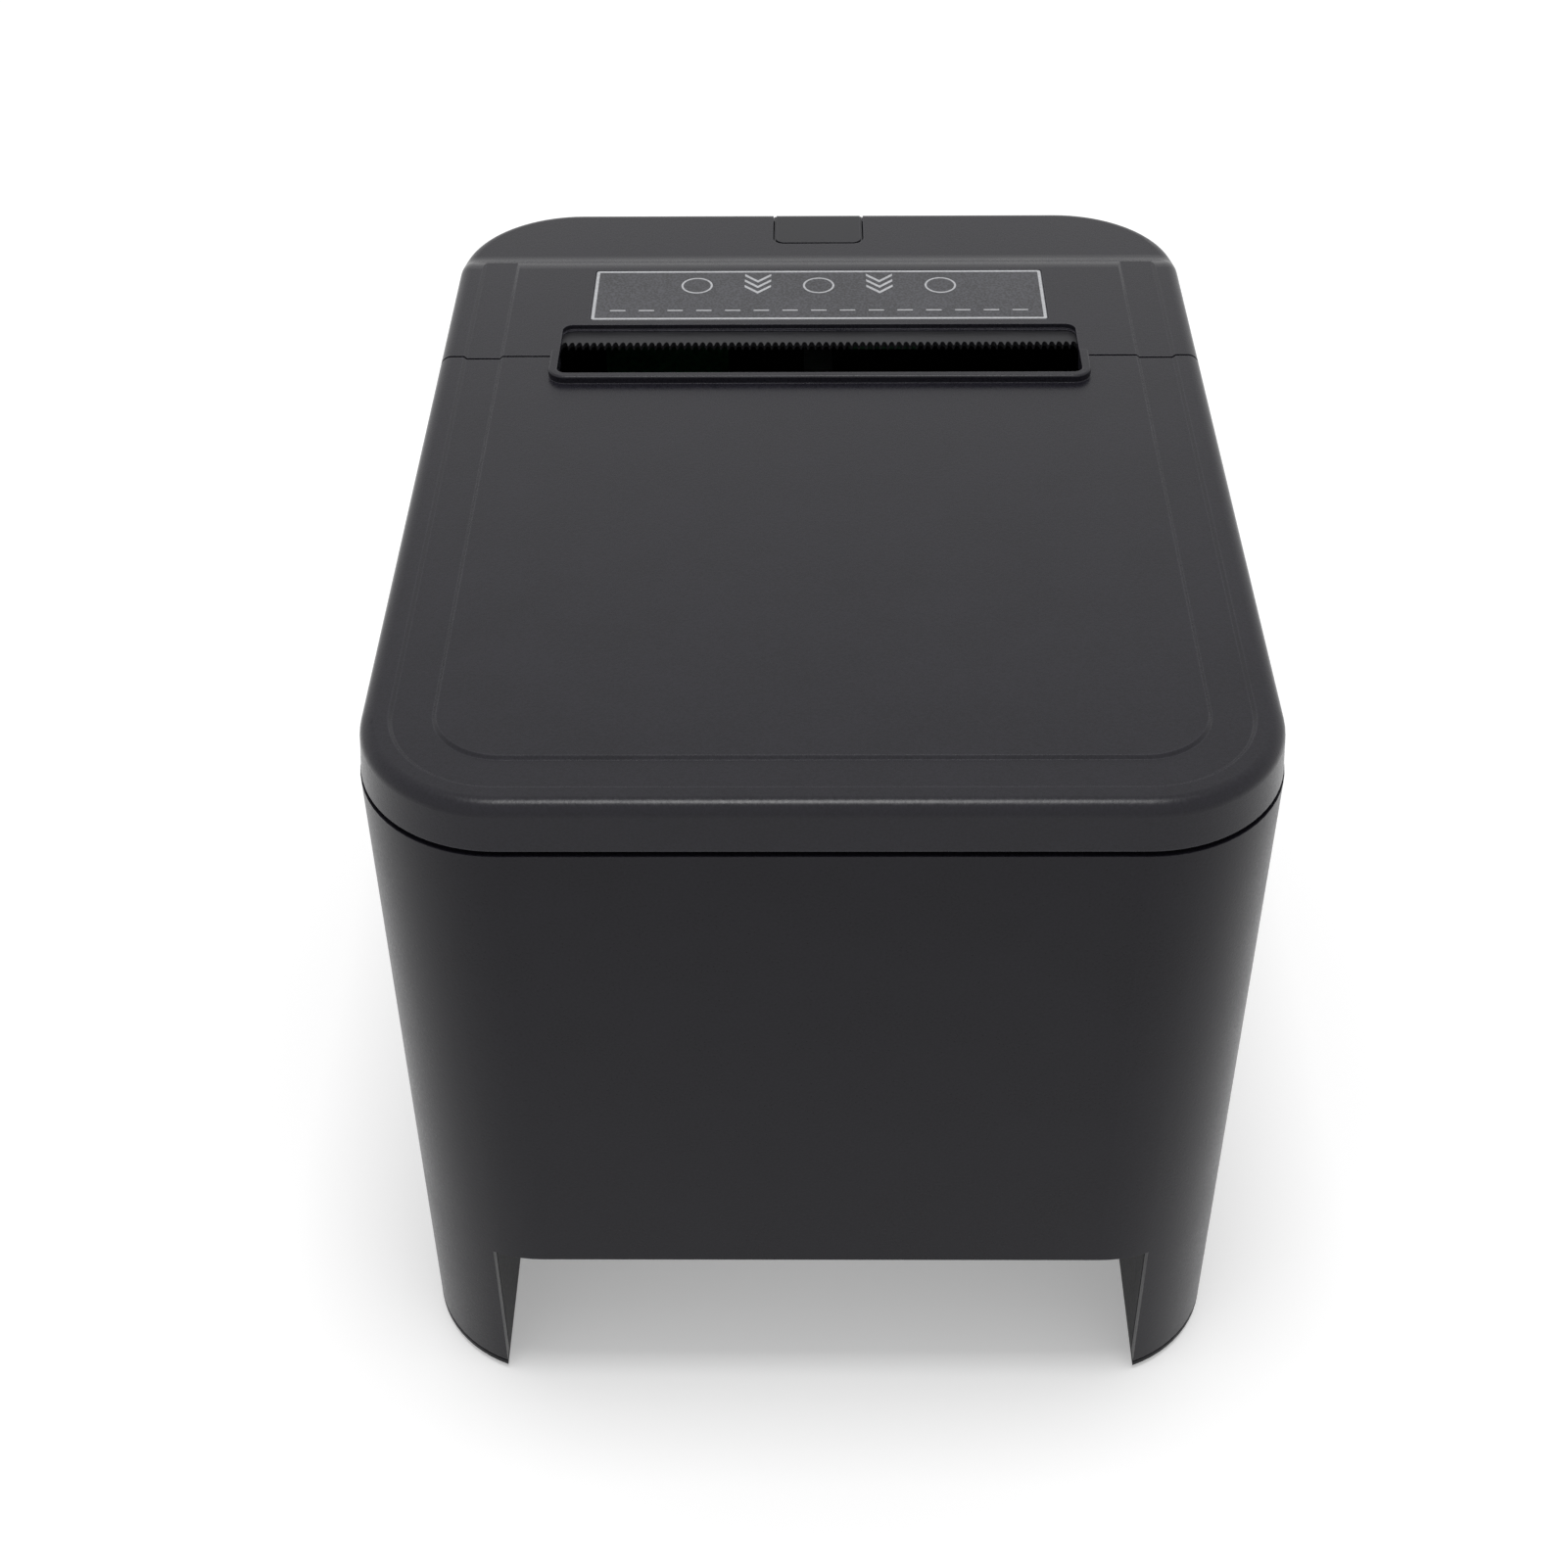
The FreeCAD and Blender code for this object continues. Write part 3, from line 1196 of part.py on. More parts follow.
def switch_limits(grow, near, far):
    """Limits of the power switch body in the front wall, grown by a clearance."""
    half, x, z = size("switch_width") / 2, -size("switch_offset"), floor_top + size("switch_rise")
    return ((x - half - grow, x + half + grow), (near, far), (z - grow, z + size("switch_height") + grow))


def power_switch():
    """The power switch: an open-fronted body in the front wall and a rocker that tips in it."""
    face = front_y + 0.1
    outer = block("switch_body", *switch_limits(0, face, face + size("switch_depth")))
    inner = block("switch_well", *switch_limits(-1.2, face - 1, face + 7.5))
    inner_face = front_y + size("case_wall")
    lip = block("switch_lip", *switch_limits(1.2, inner_face, inner_face + 1.2))
    half = size("switch_width") / 2 - 1.6
    x, z = -size("switch_offset"), floor_top + size("switch_rise") + size("switch_height") / 2
    tall = size("switch_height") / 2 - 1.7
    rise = tall * sine(size("rocker_tilt"))
    deep = 3.4
    rocker = pad("power_rocker", "YZ", (x - half, x + half), [
        (face + 0.3 + rise * 2, z - tall + 0.3), (face + deep + rise, z - tall + 0.4), (face + deep + 2.4, z),
        (face + deep + rise * 0.2, z + tall - 0.4), (face + 0.3, z + tall - 0.3), (face + 0.9 + rise, z)])
    pivot = rod("switch_pivot", "X", (face + deep, z), (x - half - 0.6, x + half + 0.6), 0.8)
    body = cut("switch_open", fuse("switch_solid", outer, lip), inner)
    bore = rod("rocker_bore", "X", (face + deep, z), (x - half - 1, x + half + 1), 0.8 + size("pin_clear"))
    return fuse("power_switch", body, pivot), cut("rocker", rocker, bore)


def board_holes():
    """Where the main board is screwed to its stand-offs."""
    x, rear = size("main_width") / 2 - 4, panel_y - size("panel_thick") - 1
    return [(side * x, rear - step) for side in (1, -1) for step in (size("main_length") - 4, 24)]


# Places and sizes of what stands on the main board: x, distance from its rear edge, width, depth and height.
CHIPS = ((-14, 52, 14, 14, 1.6), (12, 50, 12, 18, 1.4), (-22, 78, 8, 10, 1.4), (10, 80, 24, 6, 5.0),
         (26, 34, 9, 9, 4.0))
CANS = ((-27, 40), (-27, 50), (26, 62))
# The middle of each socket along X, with its width, height and depth.
SOCKETS = {"power_socket": (-26.0, 15.0, 13.0, 14.0), "lan_socket": (-5.0, 16.0, 13.5, 18.0),
           "usb_socket": (13.5, 12.0, 11.0, 16.0), "drawer_socket": (30.0, 13.2, 13.0, 16.0)}


def socket_limits(name, grow=0.0):
    """Limits of a socket that stands on the main board and looks out through the connector panel."""
    x, wide, tall, deep = SOCKETS[name]
    low = floor_top + size("standoff") + size("board_thick")
    xs = (x - wide / 2 - grow, x + wide / 2 + grow)
    return xs, (panel_y + 1 - deep, panel_y + 1), (low - grow, low + tall + grow)


def socket(name):
    """One socket with its mouth towards the cable bay."""
    xs, ys, zs = socket_limits(name)
    body = block(name + "_body", xs, ys, zs)
    middle_x, middle_z = (xs[0] + xs[1]) / 2, (zs[0] + zs[1]) / 2
    mouth = (ys[1] - 9, ys[1] + 1)
    if name == "power_socket":
        hollow = rod(name + "_mouth", "Y", (middle_x, middle_z), mouth, 5.4)
        pins = [rod("power_pin", "Y", (middle_x + x, middle_z + z), (ys[1] - 9.5, ys[1] - 3), 0.8)
                for x, z in ((-2.4, -1.6), (2.4, -1.6), (0, 2.4))]
        return fuse(name, cut(name + "_open", body, hollow), *pins)
    hollow = block(name + "_mouth", (xs[0] + 1.5, xs[1] - 1.5), mouth, (zs[0] + 2.2, zs[1] - 1.5))
    if name == "usb_socket":
        tongue = block("usb_tongue", (middle_x - 2.8, middle_x + 2.8), (ys[1] - 9.5, ys[1] - 1),
                       (middle_z - 1.3, middle_z + 1.6))
        return fuse(name, cut(name + "_open", body, hollow), tongue)
    key = block(name + "_key", (middle_x - 2.2, middle_x + 2.2), mouth, (zs[0] + 0.8, zs[0] + 3))
    return cut(name, body, hollow, key)


def board_pieces():
    """The main board with its larger components, the panel at the end of the bay and the sockets."""
    half, rear = size("main_width") / 2, panel_y - size("panel_thick") - 1
    low = floor_top + size("standoff")
    top = low + size("board_thick")
    plate = block("board_plate", (-half, half), (rear - size("main_length"), rear), (low, top))
    chips = [block("board_chip", (x - wide / 2, x + wide / 2), (rear - y - deep / 2, rear - y + deep / 2),
                   (top - 0.2, top + tall)) for x, y, wide, deep, tall in CHIPS]
    cans = [rod("board_can", "Z", (x, rear - y), (top - 0.2, top + 11), 4.0) for x, y in CANS]
    holes = [rod("board_hole", "Z", place, (low - 1, top + 1), 1.6) for place in board_holes()]
    board = cut("main_board", fuse("board_solid", plate, *chips, *cans), *holes)
    lined = bay_half + size("lining_thick")
    panel = block("panel_blank", (-lined, lined), (panel_y - size("panel_thick"), panel_y),
                  (floor_top, bay_roof + size("lining_thick")))
    windows = []
    for name in SOCKETS:
        xs, ys, zs = socket_limits(name, size("socket_clear"))
        windows.append(block("panel_window", xs, (panel_y - PAST, panel_y + PAST), zs))
    return board, cut("connector_panel", panel, *windows), [socket(name) for name in SOCKETS]


def main():
    """Builds every piece, checks it and writes one STEP file per piece."""
    form = cover_form()
    feet, tray_screws = feet_and_screws()
    panel_board, lenses, label = panel_pieces()
    bar, bar_screws = tear_bar()
    liner, liner_screws = lid_liner()
    bracket, bushings = platen_bracket()
    roller, shaft, wheel = platen()
    idler, pinion = drive_gears()
    head, heatsink, spring = print_head()
    brackets, pins = hinge_pieces()
    feed_button, feed_switch = feed_pieces()
    switch, rocker = power_switch()
    board, panel, sockets = board_pieces()
    pieces = {
        "outer_case": outer_case(), "base_tray": base_tray(), "rubber_feet": feet, "tray_screws": tray_screws,
        "front_cover": front_cover(form), "panel_board": panel_board, "indicator_lenses": lenses,
        "status_label": label, "tear_bar": bar, "tear_bar_screws": bar_screws, "lid": lid(form),
        "lid_liner": liner, "liner_screws": liner_screws, "platen_bracket": bracket,
        "platen_bushings": bushings, "platen_roller": roller, "platen_shaft": shaft, "platen_gear": wheel,
        "idler_gear": idler, "motor_pinion": pinion, "mech_frame": mech_frame(), "print_head": head,
        "head_heatsink": heatsink, "head_spring": spring, "paper_guide": paper_guide(),
        "feed_motor": feed_motor(), "inner_chassis": inner_chassis(), "hinge_brackets": brackets,
        "hinge_pins": pins, "release_button": release_button(form), "latch_lever": latch_lever(),
        "feed_button": feed_button, "feed_switch": feed_switch, "power_switch": switch,
        "power_rocker": rocker, "main_board": board, "connector_panel": panel,
    }
    pieces.update(zip(SOCKETS, sockets))
    doc.recompute()
    faults = [item.Name for item in doc.Objects if {"Invalid", "Error"} & set(item.State)]
    faults += [name for name, item in pieces.items() if item.Shape.isNull() or not item.Shape.isValid()]
    if faults:
        raise RuntimeError("failed pieces: " + ", ".join(faults))
    os.makedirs("parts", exist_ok=True)
    for name, item in pieces.items():
        item.Label = name
        item.Shape.exportStep("parts/%s.step" % name)
        print("%-18s solids %d volume %.1f" % (name, len(item.Shape.Solids), item.Shape.Volume))


main()
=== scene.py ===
"""Finishes, label print and studio for a desktop receipt printer with a hinged paper lid."""
import json
import logging
import math
from dataclasses import dataclass
from enum import Enum
from typing import Any, Dict, List, Optional, Tuple

import bpy
import numpy as np
from mathutils import Matrix, Vector
from mathutils.bvhtree import BVHTree

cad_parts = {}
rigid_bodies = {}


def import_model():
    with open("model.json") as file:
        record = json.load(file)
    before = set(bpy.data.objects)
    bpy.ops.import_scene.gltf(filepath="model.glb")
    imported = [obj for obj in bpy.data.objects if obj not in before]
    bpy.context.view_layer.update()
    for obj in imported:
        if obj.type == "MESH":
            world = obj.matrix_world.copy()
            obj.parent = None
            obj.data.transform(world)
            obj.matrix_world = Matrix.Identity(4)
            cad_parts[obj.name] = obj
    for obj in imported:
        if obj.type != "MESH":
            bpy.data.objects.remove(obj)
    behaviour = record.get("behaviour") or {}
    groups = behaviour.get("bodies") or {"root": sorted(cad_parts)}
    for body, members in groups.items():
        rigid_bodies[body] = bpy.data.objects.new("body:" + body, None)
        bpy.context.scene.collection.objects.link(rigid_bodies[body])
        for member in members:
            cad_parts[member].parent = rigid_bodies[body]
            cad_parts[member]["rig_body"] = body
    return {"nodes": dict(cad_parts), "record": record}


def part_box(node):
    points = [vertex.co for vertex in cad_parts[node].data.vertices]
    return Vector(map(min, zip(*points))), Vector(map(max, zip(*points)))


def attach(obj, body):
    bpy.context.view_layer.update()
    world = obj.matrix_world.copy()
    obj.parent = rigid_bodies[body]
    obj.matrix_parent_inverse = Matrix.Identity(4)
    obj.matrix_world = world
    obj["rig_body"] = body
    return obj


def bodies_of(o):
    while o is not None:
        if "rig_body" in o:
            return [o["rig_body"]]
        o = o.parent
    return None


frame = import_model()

LOG = logging.getLogger("receipt_printer")
MM = 0.001
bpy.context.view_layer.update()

Tree = bpy.types.NodeTree
Socket = bpy.types.NodeSocket
Triple = Tuple[float, float, float]
MeshArrays = Tuple[np.ndarray, np.ndarray]

# What all finishes share: slow mottling of about 14 mm under the grain, and how both turn into tone, roughness
# and bump.
MOTTLE_NOISE = {"Scale": 1 / (14 * MM), "Detail": 4.0, "Roughness": 0.6}
MOTTLE_SHARE = 0.35
TONE_STOPS = (0.28, 0.72)
ROUGH_STOPS = (0.25, 0.75)
LEAST_ROUGHNESS = 0.02
BUMP_STRENGTH = 0.6
BEVEL_SAMPLES = 4
# Fine grain: noise on moulded and brushed surfaces, cells on printed and laminated ones.
GRAIN_ROUGHNESS = 0.55
MOULDED_DETAIL = 2.5
BRUSHED_DETAIL = 5.0
CELL_GAIN = 1.1
# Pale edges, partly rubbed wear and partly a painted highlight along edges, start and are full at these dot
# products of the softened and the true normal.
WEAR_AND_HIGHLIGHT_STOPS = (0.99, 0.8)
WEAR_AND_HIGHLIGHT_GAIN = 2.0
WHITE = "#ffffff"
FLOOR_TONE = "#f1f1f1"


def linear(colour: str) -> Tuple[float, float, float, float]:
    """Turns an sRGB hex colour into linear light.

    Args:
        colour: six hex digits after a hash sign.

    Returns:
        Red, green, blue and an alpha of one.
    """
    parts = [int(colour[i:i + 2], 16) / 255 for i in (1, 3, 5)]
    light = [p / 12.92 if p <= 0.04045 else ((p + 0.055) / 1.055) ** 2.4 for p in parts]
    return (light[0], light[1], light[2], 1.0)


def add_node(tree: Tree, kind: str, inputs: Optional[Dict[Any, Any]] = None, **settings: Any) -> bpy.types.Node:
    """Adds one node with its settings and links.

    Args:
        tree: the node tree that gets the node.
        kind: Blender's type name of the node.
        inputs: an input's name or number, with the socket to link or the value to set.
        settings: properties of the node itself.

    Returns:
        The new node.
    """
    item = tree.nodes.new(kind)
    for name, value in settings.items():
        setattr(item, name, value)
    for name, value in (inputs or {}).items():
        if isinstance(value, Socket):
            tree.links.new(value, item.inputs[name])
        else:
            item.inputs[name].default_value = value
    return item


def calc(tree: Tree, operation: str, *values: Any, clamp: bool = False) -> Socket:
    """Adds one sum, product or other step of arithmetic.

    Args:
        tree: the node tree.
        operation: Blender's name of the operation.
        values: the operands, as sockets or numbers.
        clamp: keeps the result from 0 to 1.

    Returns:
        The socket with the result.
    """
    step = add_node(tree, "ShaderNodeMath", dict(enumerate(values)), operation=operation, use_clamp=clamp)
    return step.outputs[0]


def map_range(tree: Tree, value: Socket, source: Tuple[float, float], target: Tuple[float, float]) -> Socket:
    """Maps a grey value from one range to another.

    Args:
        tree: the node tree.
        value: the socket with the grey value.
        source: the range it comes from.
        target: the range it goes to.

    Returns:
        The socket with the result.
    """
    return add_node(tree, "ShaderNodeMapRange", {
        "Value": value, "From Min": source[0], "From Max": source[1],
        "To Min": target[0], "To Max": target[1]}).outputs[0]


def ramp(tree: Tree, source: Socket, dark: str, light: str) -> Socket:
    """Maps a grey value to tones from a dark to a light colour.

    Args:
        tree: the node tree.
        source: the socket with the grey value.
        dark: hex colour at and below the first stop.
        light: hex colour at and above the second stop.

    Returns:
        The colour socket.
    """
    item = add_node(tree, "ShaderNodeValToRGB", {"Fac": source})
    for element, place, colour in zip(item.color_ramp.elements, TONE_STOPS, (dark, light)):
        element.position = place
        element.color = linear(colour)
    return item.outputs["Color"]


class Surface(Enum):
    """How a surface was made, which sets the pattern that its finish draws."""

    MOULDED = "moulded"
    BRUSHED = "brushed"
    PRINTED = "printed"
    LAMINATE = "laminate"
    SMOOTH = "smooth"


@dataclass(frozen=True)
class Finish:
    """One material: what it is, its colours and the real size of its grain in millimetres."""

    name: str
    surface: Surface
    dark: str
    light: str
    roughness: float
    ior: float = 1.5
    metallic: float = 0.0
    specular: float = 0.5
    grain_mm: float = 0.4
    depth_mm: float = 0.02
    stretch: Triple = (1.0, 1.0, 1.0)
    spread: float = 0.08
    transmission: float = 0.0
    edge_mm: float = 0.1
    # The pale edge tone is partly rubbed wear and partly a painted highlight along edges and relief lines.
    worn_and_highlit_mm: float = 0.4
    worn_and_highlit: str = "#4c4b52"
    wear_and_highlight: float = 0.0

    def material(self) -> bpy.types.Material:
        """Builds the node material.

        Returns:
            The new material.
        """
        made = bpy.data.materials.new(self.name)
        made.use_nodes = True
        tree = made.node_tree
        tree.nodes.clear()
        place = add_node(tree, "ShaderNodeTexCoord").outputs["Object"]
        grain = self.grain(tree, place)
        mottle = add_node(tree, "ShaderNodeTexNoise", {"Vector": place, **MOTTLE_NOISE}).outputs["Fac"]
        tone = calc(tree, "MULTIPLY", mottle, MOTTLE_SHARE)
        mixed = calc(tree, "MULTIPLY_ADD", grain, 1 - MOTTLE_SHARE, tone)
        colour = ramp(tree, mixed, self.dark, self.light)
        if self.wear_and_highlight:
            colour = self.worn_and_highlit_edges(tree, mottle, colour)
        polished = max(self.roughness - self.spread, LEAST_ROUGHNESS)
        rough = map_range(tree, mixed, ROUGH_STOPS, (polished, min(self.roughness + self.spread, 1.0)))
        bump = add_node(tree, "ShaderNodeBump", {
            "Height": grain, "Strength": BUMP_STRENGTH, "Distance": self.depth_mm * MM,
            "Normal": self.soft_normal(tree, self.edge_mm)}).outputs["Normal"]
        shader = add_node(tree, "ShaderNodeBsdfPrincipled", {
            "Base Color": colour, "Roughness": rough, "Normal": bump, "IOR": self.ior,
            "Metallic": self.metallic, "Specular IOR Level": self.specular,
            "Transmission Weight": self.transmission})
        add_node(tree, "ShaderNodeOutputMaterial", {"Surface": shader.outputs[0]})
        return made

    def soft_normal(self, tree: Tree, radius_mm: float) -> Socket:
        """Rounds the edges in the shading alone.

        Args:
            tree: the material's node tree.
            radius_mm: how far the rounding reaches from an edge.

        Returns:
            The softened normal.
        """
        return add_node(tree, "ShaderNodeBevel", {"Radius": radius_mm * MM}, samples=BEVEL_SAMPLES).outputs[0]

    def worn_and_highlit_edges(self, tree: Tree, mottle: Socket, colour: Socket) -> Socket:
        """Paints the edges paler, in patches: partly rubbed wear, partly a painted highlight along edges and
        relief lines.

        A softened normal leaves the true one only near an edge, so their dot product falls below one there.

        Args:
            tree: the material's node tree.
            mottle: a slow grey pattern that breaks the pale edges up.
            colour: the colour away from the edges.

        Returns:
            The colour with pale edges, partly worn and partly painted highlight.
        """
        soft = self.soft_normal(tree, self.worn_and_highlit_mm)
        true = add_node(tree, "ShaderNodeNewGeometry").outputs["Normal"]
        turned = add_node(tree, "ShaderNodeVectorMath", {0: soft, 1: true}, operation="DOT_PRODUCT")
        near = map_range(tree, turned.outputs["Value"], WEAR_AND_HIGHLIGHT_STOPS, (0.0, WEAR_AND_HIGHLIGHT_GAIN * self.wear_and_highlight))
        share = calc(tree, "MULTIPLY", near, mottle, clamp=True)
        # Inputs 6 and 7 and output 2 are the mix node's colour sockets, which share their names with others.
        # Mixes in the pale edge tone: painted highlight along the edges together with rubbed wear.
        mix = add_node(tree, "ShaderNodeMix", {"Factor": share, 6: colour, 7: linear(self.worn_and_highlit)},
                       data_type="RGBA")
        return mix.outputs[2]

    def grain(self, tree: Tree, place: Socket) -> Socket:
        """Draws the fine pattern of the surface.

        Args:
            tree: the material's node tree.
            place: Object coordinates.

        Returns:
            A grey value from 0 to 1.
        """
        turned = add_node(tree, "ShaderNodeMapping", {"Vector": place, "Scale": self.stretch}).outputs[0]
        scale = 1 / (self.grain_mm * MM)
        if self.surface in (Surface.PRINTED, Surface.LAMINATE):
            cells = add_node(tree, "ShaderNodeTexVoronoi", {"Vector": turned, "Scale": scale}, feature="F1")
            return calc(tree, "MULTIPLY", cells.outputs["Distance"], CELL_GAIN, clamp=True)
        detail = BRUSHED_DETAIL if self.surface is Surface.BRUSHED else MOULDED_DETAIL
        return add_node(tree, "ShaderNodeTexNoise", {
            "Vector": turned, "Scale": scale, "Detail": detail, "Roughness": GRAIN_ROUGHNESS}).outputs["Fac"]


# Spark-eroded black ABS: a dull black with a fine even grain that shows only where light grazes it. The grain
# of about 0.3 mm is drawn at 0.5 mm so that it shows in the render.
# wear_and_highlight paints the edges paler: partly rubbed wear, partly painted highlight.
CASE_ABS = Finish("moulded_black_abs", Surface.MOULDED, "#131217", "#1c1b21", 0.31, 1.53,
                  specular=0.15, grain_mm=0.5, depth_mm=0.03, wear_and_highlight=0.1)
COVER_ABS = Finish("moulded_black_abs_cover", Surface.MOULDED, "#15141a", "#1f1e25", 0.28, 1.53,
                   specular=0.24, grain_mm=0.5, depth_mm=0.03, wear_and_highlight=0.6)
BUTTON_ABS = Finish("moulded_black_abs_button", Surface.MOULDED, "#161619", "#1f1f24", 0.33, 1.53,
                    specular=0.22, grain_mm=0.4, depth_mm=0.015, wear_and_highlight=0.6)
# Inside plastic, painted lighter than the case's own black: painted light that lifts the deep shade inside the
# case so its shapes show.
INNER_ABS_PAINTED_LIGHT = Finish("smooth_black_abs_painted_light", Surface.MOULDED, "#1a1a1d", "#242428", 0.5, 1.53,
                   specular=0.3, grain_mm=0.8, depth_mm=0.01)
TRAY_ABS = Finish("moulded_black_abs_tray", Surface.MOULDED, "#101012", "#18181b", 0.5, 1.53,
                  specular=0.12, grain_mm=0.5, depth_mm=0.02, wear_and_highlight=0.4)
SOCKET_PBT = Finish("moulded_black_pbt", Surface.MOULDED, "#19191a", "#212122", 0.48, 1.56,
                    specular=0.35, grain_mm=0.5, depth_mm=0.01)
GEAR_NYLON = Finish("moulded_nylon", Surface.MOULDED, "#c9c8c1", "#dcdbd5", 0.45, 1.53,
                    grain_mm=0.5, depth_mm=0.006)
LENS_ACRYLIC = Finish("milky_acrylic", Surface.SMOOTH, "#a9adb0", "#c7cbce", 0.25, 1.49,
                      grain_mm=1.0, depth_mm=0.002, transmission=0.3)
# Rubber: dull and dark. The platen is ground, which leaves lines along its axis.
FOOT_RUBBER = Finish("moulded_rubber", Surface.MOULDED, "#161616", "#222222", 0.82, 1.52,
                     specular=0.2, grain_mm=0.6, depth_mm=0.03)
PLATEN_RUBBER = Finish("ground_rubber", Surface.MOULDED, "#1b1b1c", "#262627", 0.75, 1.52,
                       specular=0.2, grain_mm=0.25, depth_mm=0.012, stretch=(0.15, 1.0, 1.0))
# Metals: drawn, extruded or turned lines of about 0.15 mm, drawn at up to 0.3 mm, with a soft shine.
PLATED_STEEL = Finish("zinc_plated_steel", Surface.BRUSHED, "#8f9092", "#b4b5b6", 0.34, metallic=1.0,
                      grain_mm=0.3, depth_mm=0.004, stretch=(0.06, 1.0, 1.0))
BLACK_STEEL = Finish("black_oxide_steel", Surface.BRUSHED, "#242426", "#333336", 0.42, metallic=0.4,
                     specular=0.35, grain_mm=0.3, depth_mm=0.004, stretch=(0.05, 1.0, 1.0))
EXTRUDED_ALUMINIUM = Finish("extruded_aluminium", Surface.BRUSHED, "#a5a7aa", "#c6c8ca", 0.38, metallic=1.0,
                            grain_mm=0.25, depth_mm=0.004, stretch=(0.04, 1.0, 1.0))
TURNED_BRASS = Finish("turned_brass", Surface.BRUSHED, "#a97f3d", "#cfa65c", 0.28, metallic=1.0,
                      grain_mm=0.2, depth_mm=0.003, stretch=(1.0, 0.1, 0.1))
TINNED_SHELL = Finish("tinned_shell", Surface.BRUSHED, "#b7b9bb", "#d2d4d5", 0.27, metallic=1.0,
                      grain_mm=0.3, depth_mm=0.003, stretch=(1.0, 0.1, 1.0))
# The print head's glazed strip and the boards.
GLAZED_CERAMIC = Finish("glazed_ceramic", Surface.SMOOTH, "#cfc9ba", "#ded9cc", 0.16, 1.6,
                        grain_mm=1.2, depth_mm=0.002)
BOARD_LAMINATE = Finish("glass_laminate", Surface.LAMINATE, "#0f3a22", "#1b5533", 0.38, 1.55,
                        grain_mm=1.1, depth_mm=0.01)
# Screen-printed polyester film: a dark grey ground with fine pale specks about 0.3 mm apart, drawn at 0.45 mm.
LABEL_FILM = Finish("printed_polyester_film", Surface.PRINTED, "#19191b", "#49494e", 0.42, 1.57,
                    specular=0.32, grain_mm=0.45, depth_mm=0.004)
LABEL_INK = Finish("pale_screen_ink", Surface.PRINTED, "#a4a5a8", "#b9babd", 0.5, 1.5,
                   specular=0.4, grain_mm=0.5, depth_mm=0.004)

SLOT_FINISHES: Dict[str, Finish] = {
    "case_plastic": CASE_ABS, "cover_plastic": COVER_ABS, "button_plastic": BUTTON_ABS,
    "inner_plastic": INNER_ABS_PAINTED_LIGHT, "foot_rubber": FOOT_RUBBER, "platen_rubber": PLATEN_RUBBER,
    "plated_steel": PLATED_STEEL,
    "heatsink_metal": EXTRUDED_ALUMINIUM, "head_ceramic": GLAZED_CERAMIC, "gear_nylon": GEAR_NYLON,
    "pinion_brass": TURNED_BRASS, "circuit_board": BOARD_LAMINATE, "lens_plastic": LENS_ACRYLIC,
    "label_film": LABEL_FILM, "socket_plastic": SOCKET_PBT, "socket_shell": TINNED_SHELL,
}
NODE_FINISHES: Dict[str, Finish] = {"tear_bar": BLACK_STEEL, "base_tray": TRAY_ABS}


class MaterialShelf:
    """Keeps one Blender material for each finish."""

    def __init__(self) -> None:
        """Starts with an empty shelf."""
        self.made: Dict[str, bpy.types.Material] = {}

    def get(self, finish: Finish) -> bpy.types.Material:
        """Gives the material of a finish, made on first use.

        Args:
            finish: the finish that is wanted.

        Returns:
            Its material.
        """
        if finish.name not in self.made:
            self.made[finish.name] = finish.material()
        return self.made[finish.name]


MATERIALS = MaterialShelf()


def mesh_piece(name: str, arrays: MeshArrays, finish: Finish, body: str) -> bpy.types.Object:
    """Makes a piece of the object from arrays and lets it ride on a body.

    Args:
        name: the piece's name.
        arrays: corner points in metres, one row each, and faces of four corner numbers.
        finish: its material.
        body: the body that carries it.

    Returns:
        The new object.
    """
    points, faces = arrays
    mesh = bpy.data.meshes.new(name)
    mesh.from_pydata(points.tolist(), [], faces.tolist())
    mesh.validate()
    mesh.update()
    item = bpy.data.objects.new(name, mesh)
    bpy.context.scene.collection.objects.link(item)
    mesh.materials.append(MATERIALS.get(finish))
    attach(item, body)
    LOG.info("%s rides on %s", name, body)
    return item


def ink_piece(name: str, arrays: MeshArrays, body: str) -> bpy.types.Object:
    """Makes one printed mark.

    Args:
        name: the mark's name.
        arrays: its points and faces.
        body: the body that carries it.

    Returns:
        The new object.
    """
    return mesh_piece(name, arrays, LABEL_INK, body)


def body_of(node: str) -> str:
    """Names the body that carries a solid.

    Args:
        node: the solid's name.

    Returns:
        The body's name.
    """
    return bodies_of(frame["nodes"][node])[0]


def faces_of(node: str) -> BVHTree:
    """Makes a solid's faces ready to be looked at along rays.

    Args:
        node: the solid's name.

    Returns:
        The tree of its faces.
    """
    mesh = frame["nodes"][node].data
    return BVHTree.FromPolygons([v.co for v in mesh.vertices], [p.vertices for p in mesh.polygons])


def band(path: np.ndarray, inside: np.ndarray, low: float, high: float) -> MeshArrays:
    """A closed band between two closed loops, with a rectangular section carried along them.

    Each section has four corners: outer low, outer high, inner high and inner low. Corner k of section i is
    point 4 i + k, and each face joins corners k and k + 1 of neighbouring sections, both counted round.

    Args:
        path: the outer loop, anticlockwise, as rows of x and y.
        inside: the inner loop, point for point.
        low: height of the underside.
        high: height of the top.

    Returns:
        Points and faces.
    """
    count = len(path)
    lows, highs = np.full((count, 1), low), np.full((count, 1), high)
    corners = ((path, lows), (path, highs), (inside, highs), (inside, lows))
    rows = np.stack([np.hstack(corner) for corner in corners], axis=1)
    i, k = np.meshgrid(np.arange(count), np.arange(4), indexing="ij")
    j, m = (i + 1) % count, (k + 1) % 4
    faces = np.stack([4 * i + k, 4 * j + k, 4 * j + m, 4 * i + m], axis=-1).reshape(-1, 4)
    return rows.reshape(-1, 3), faces


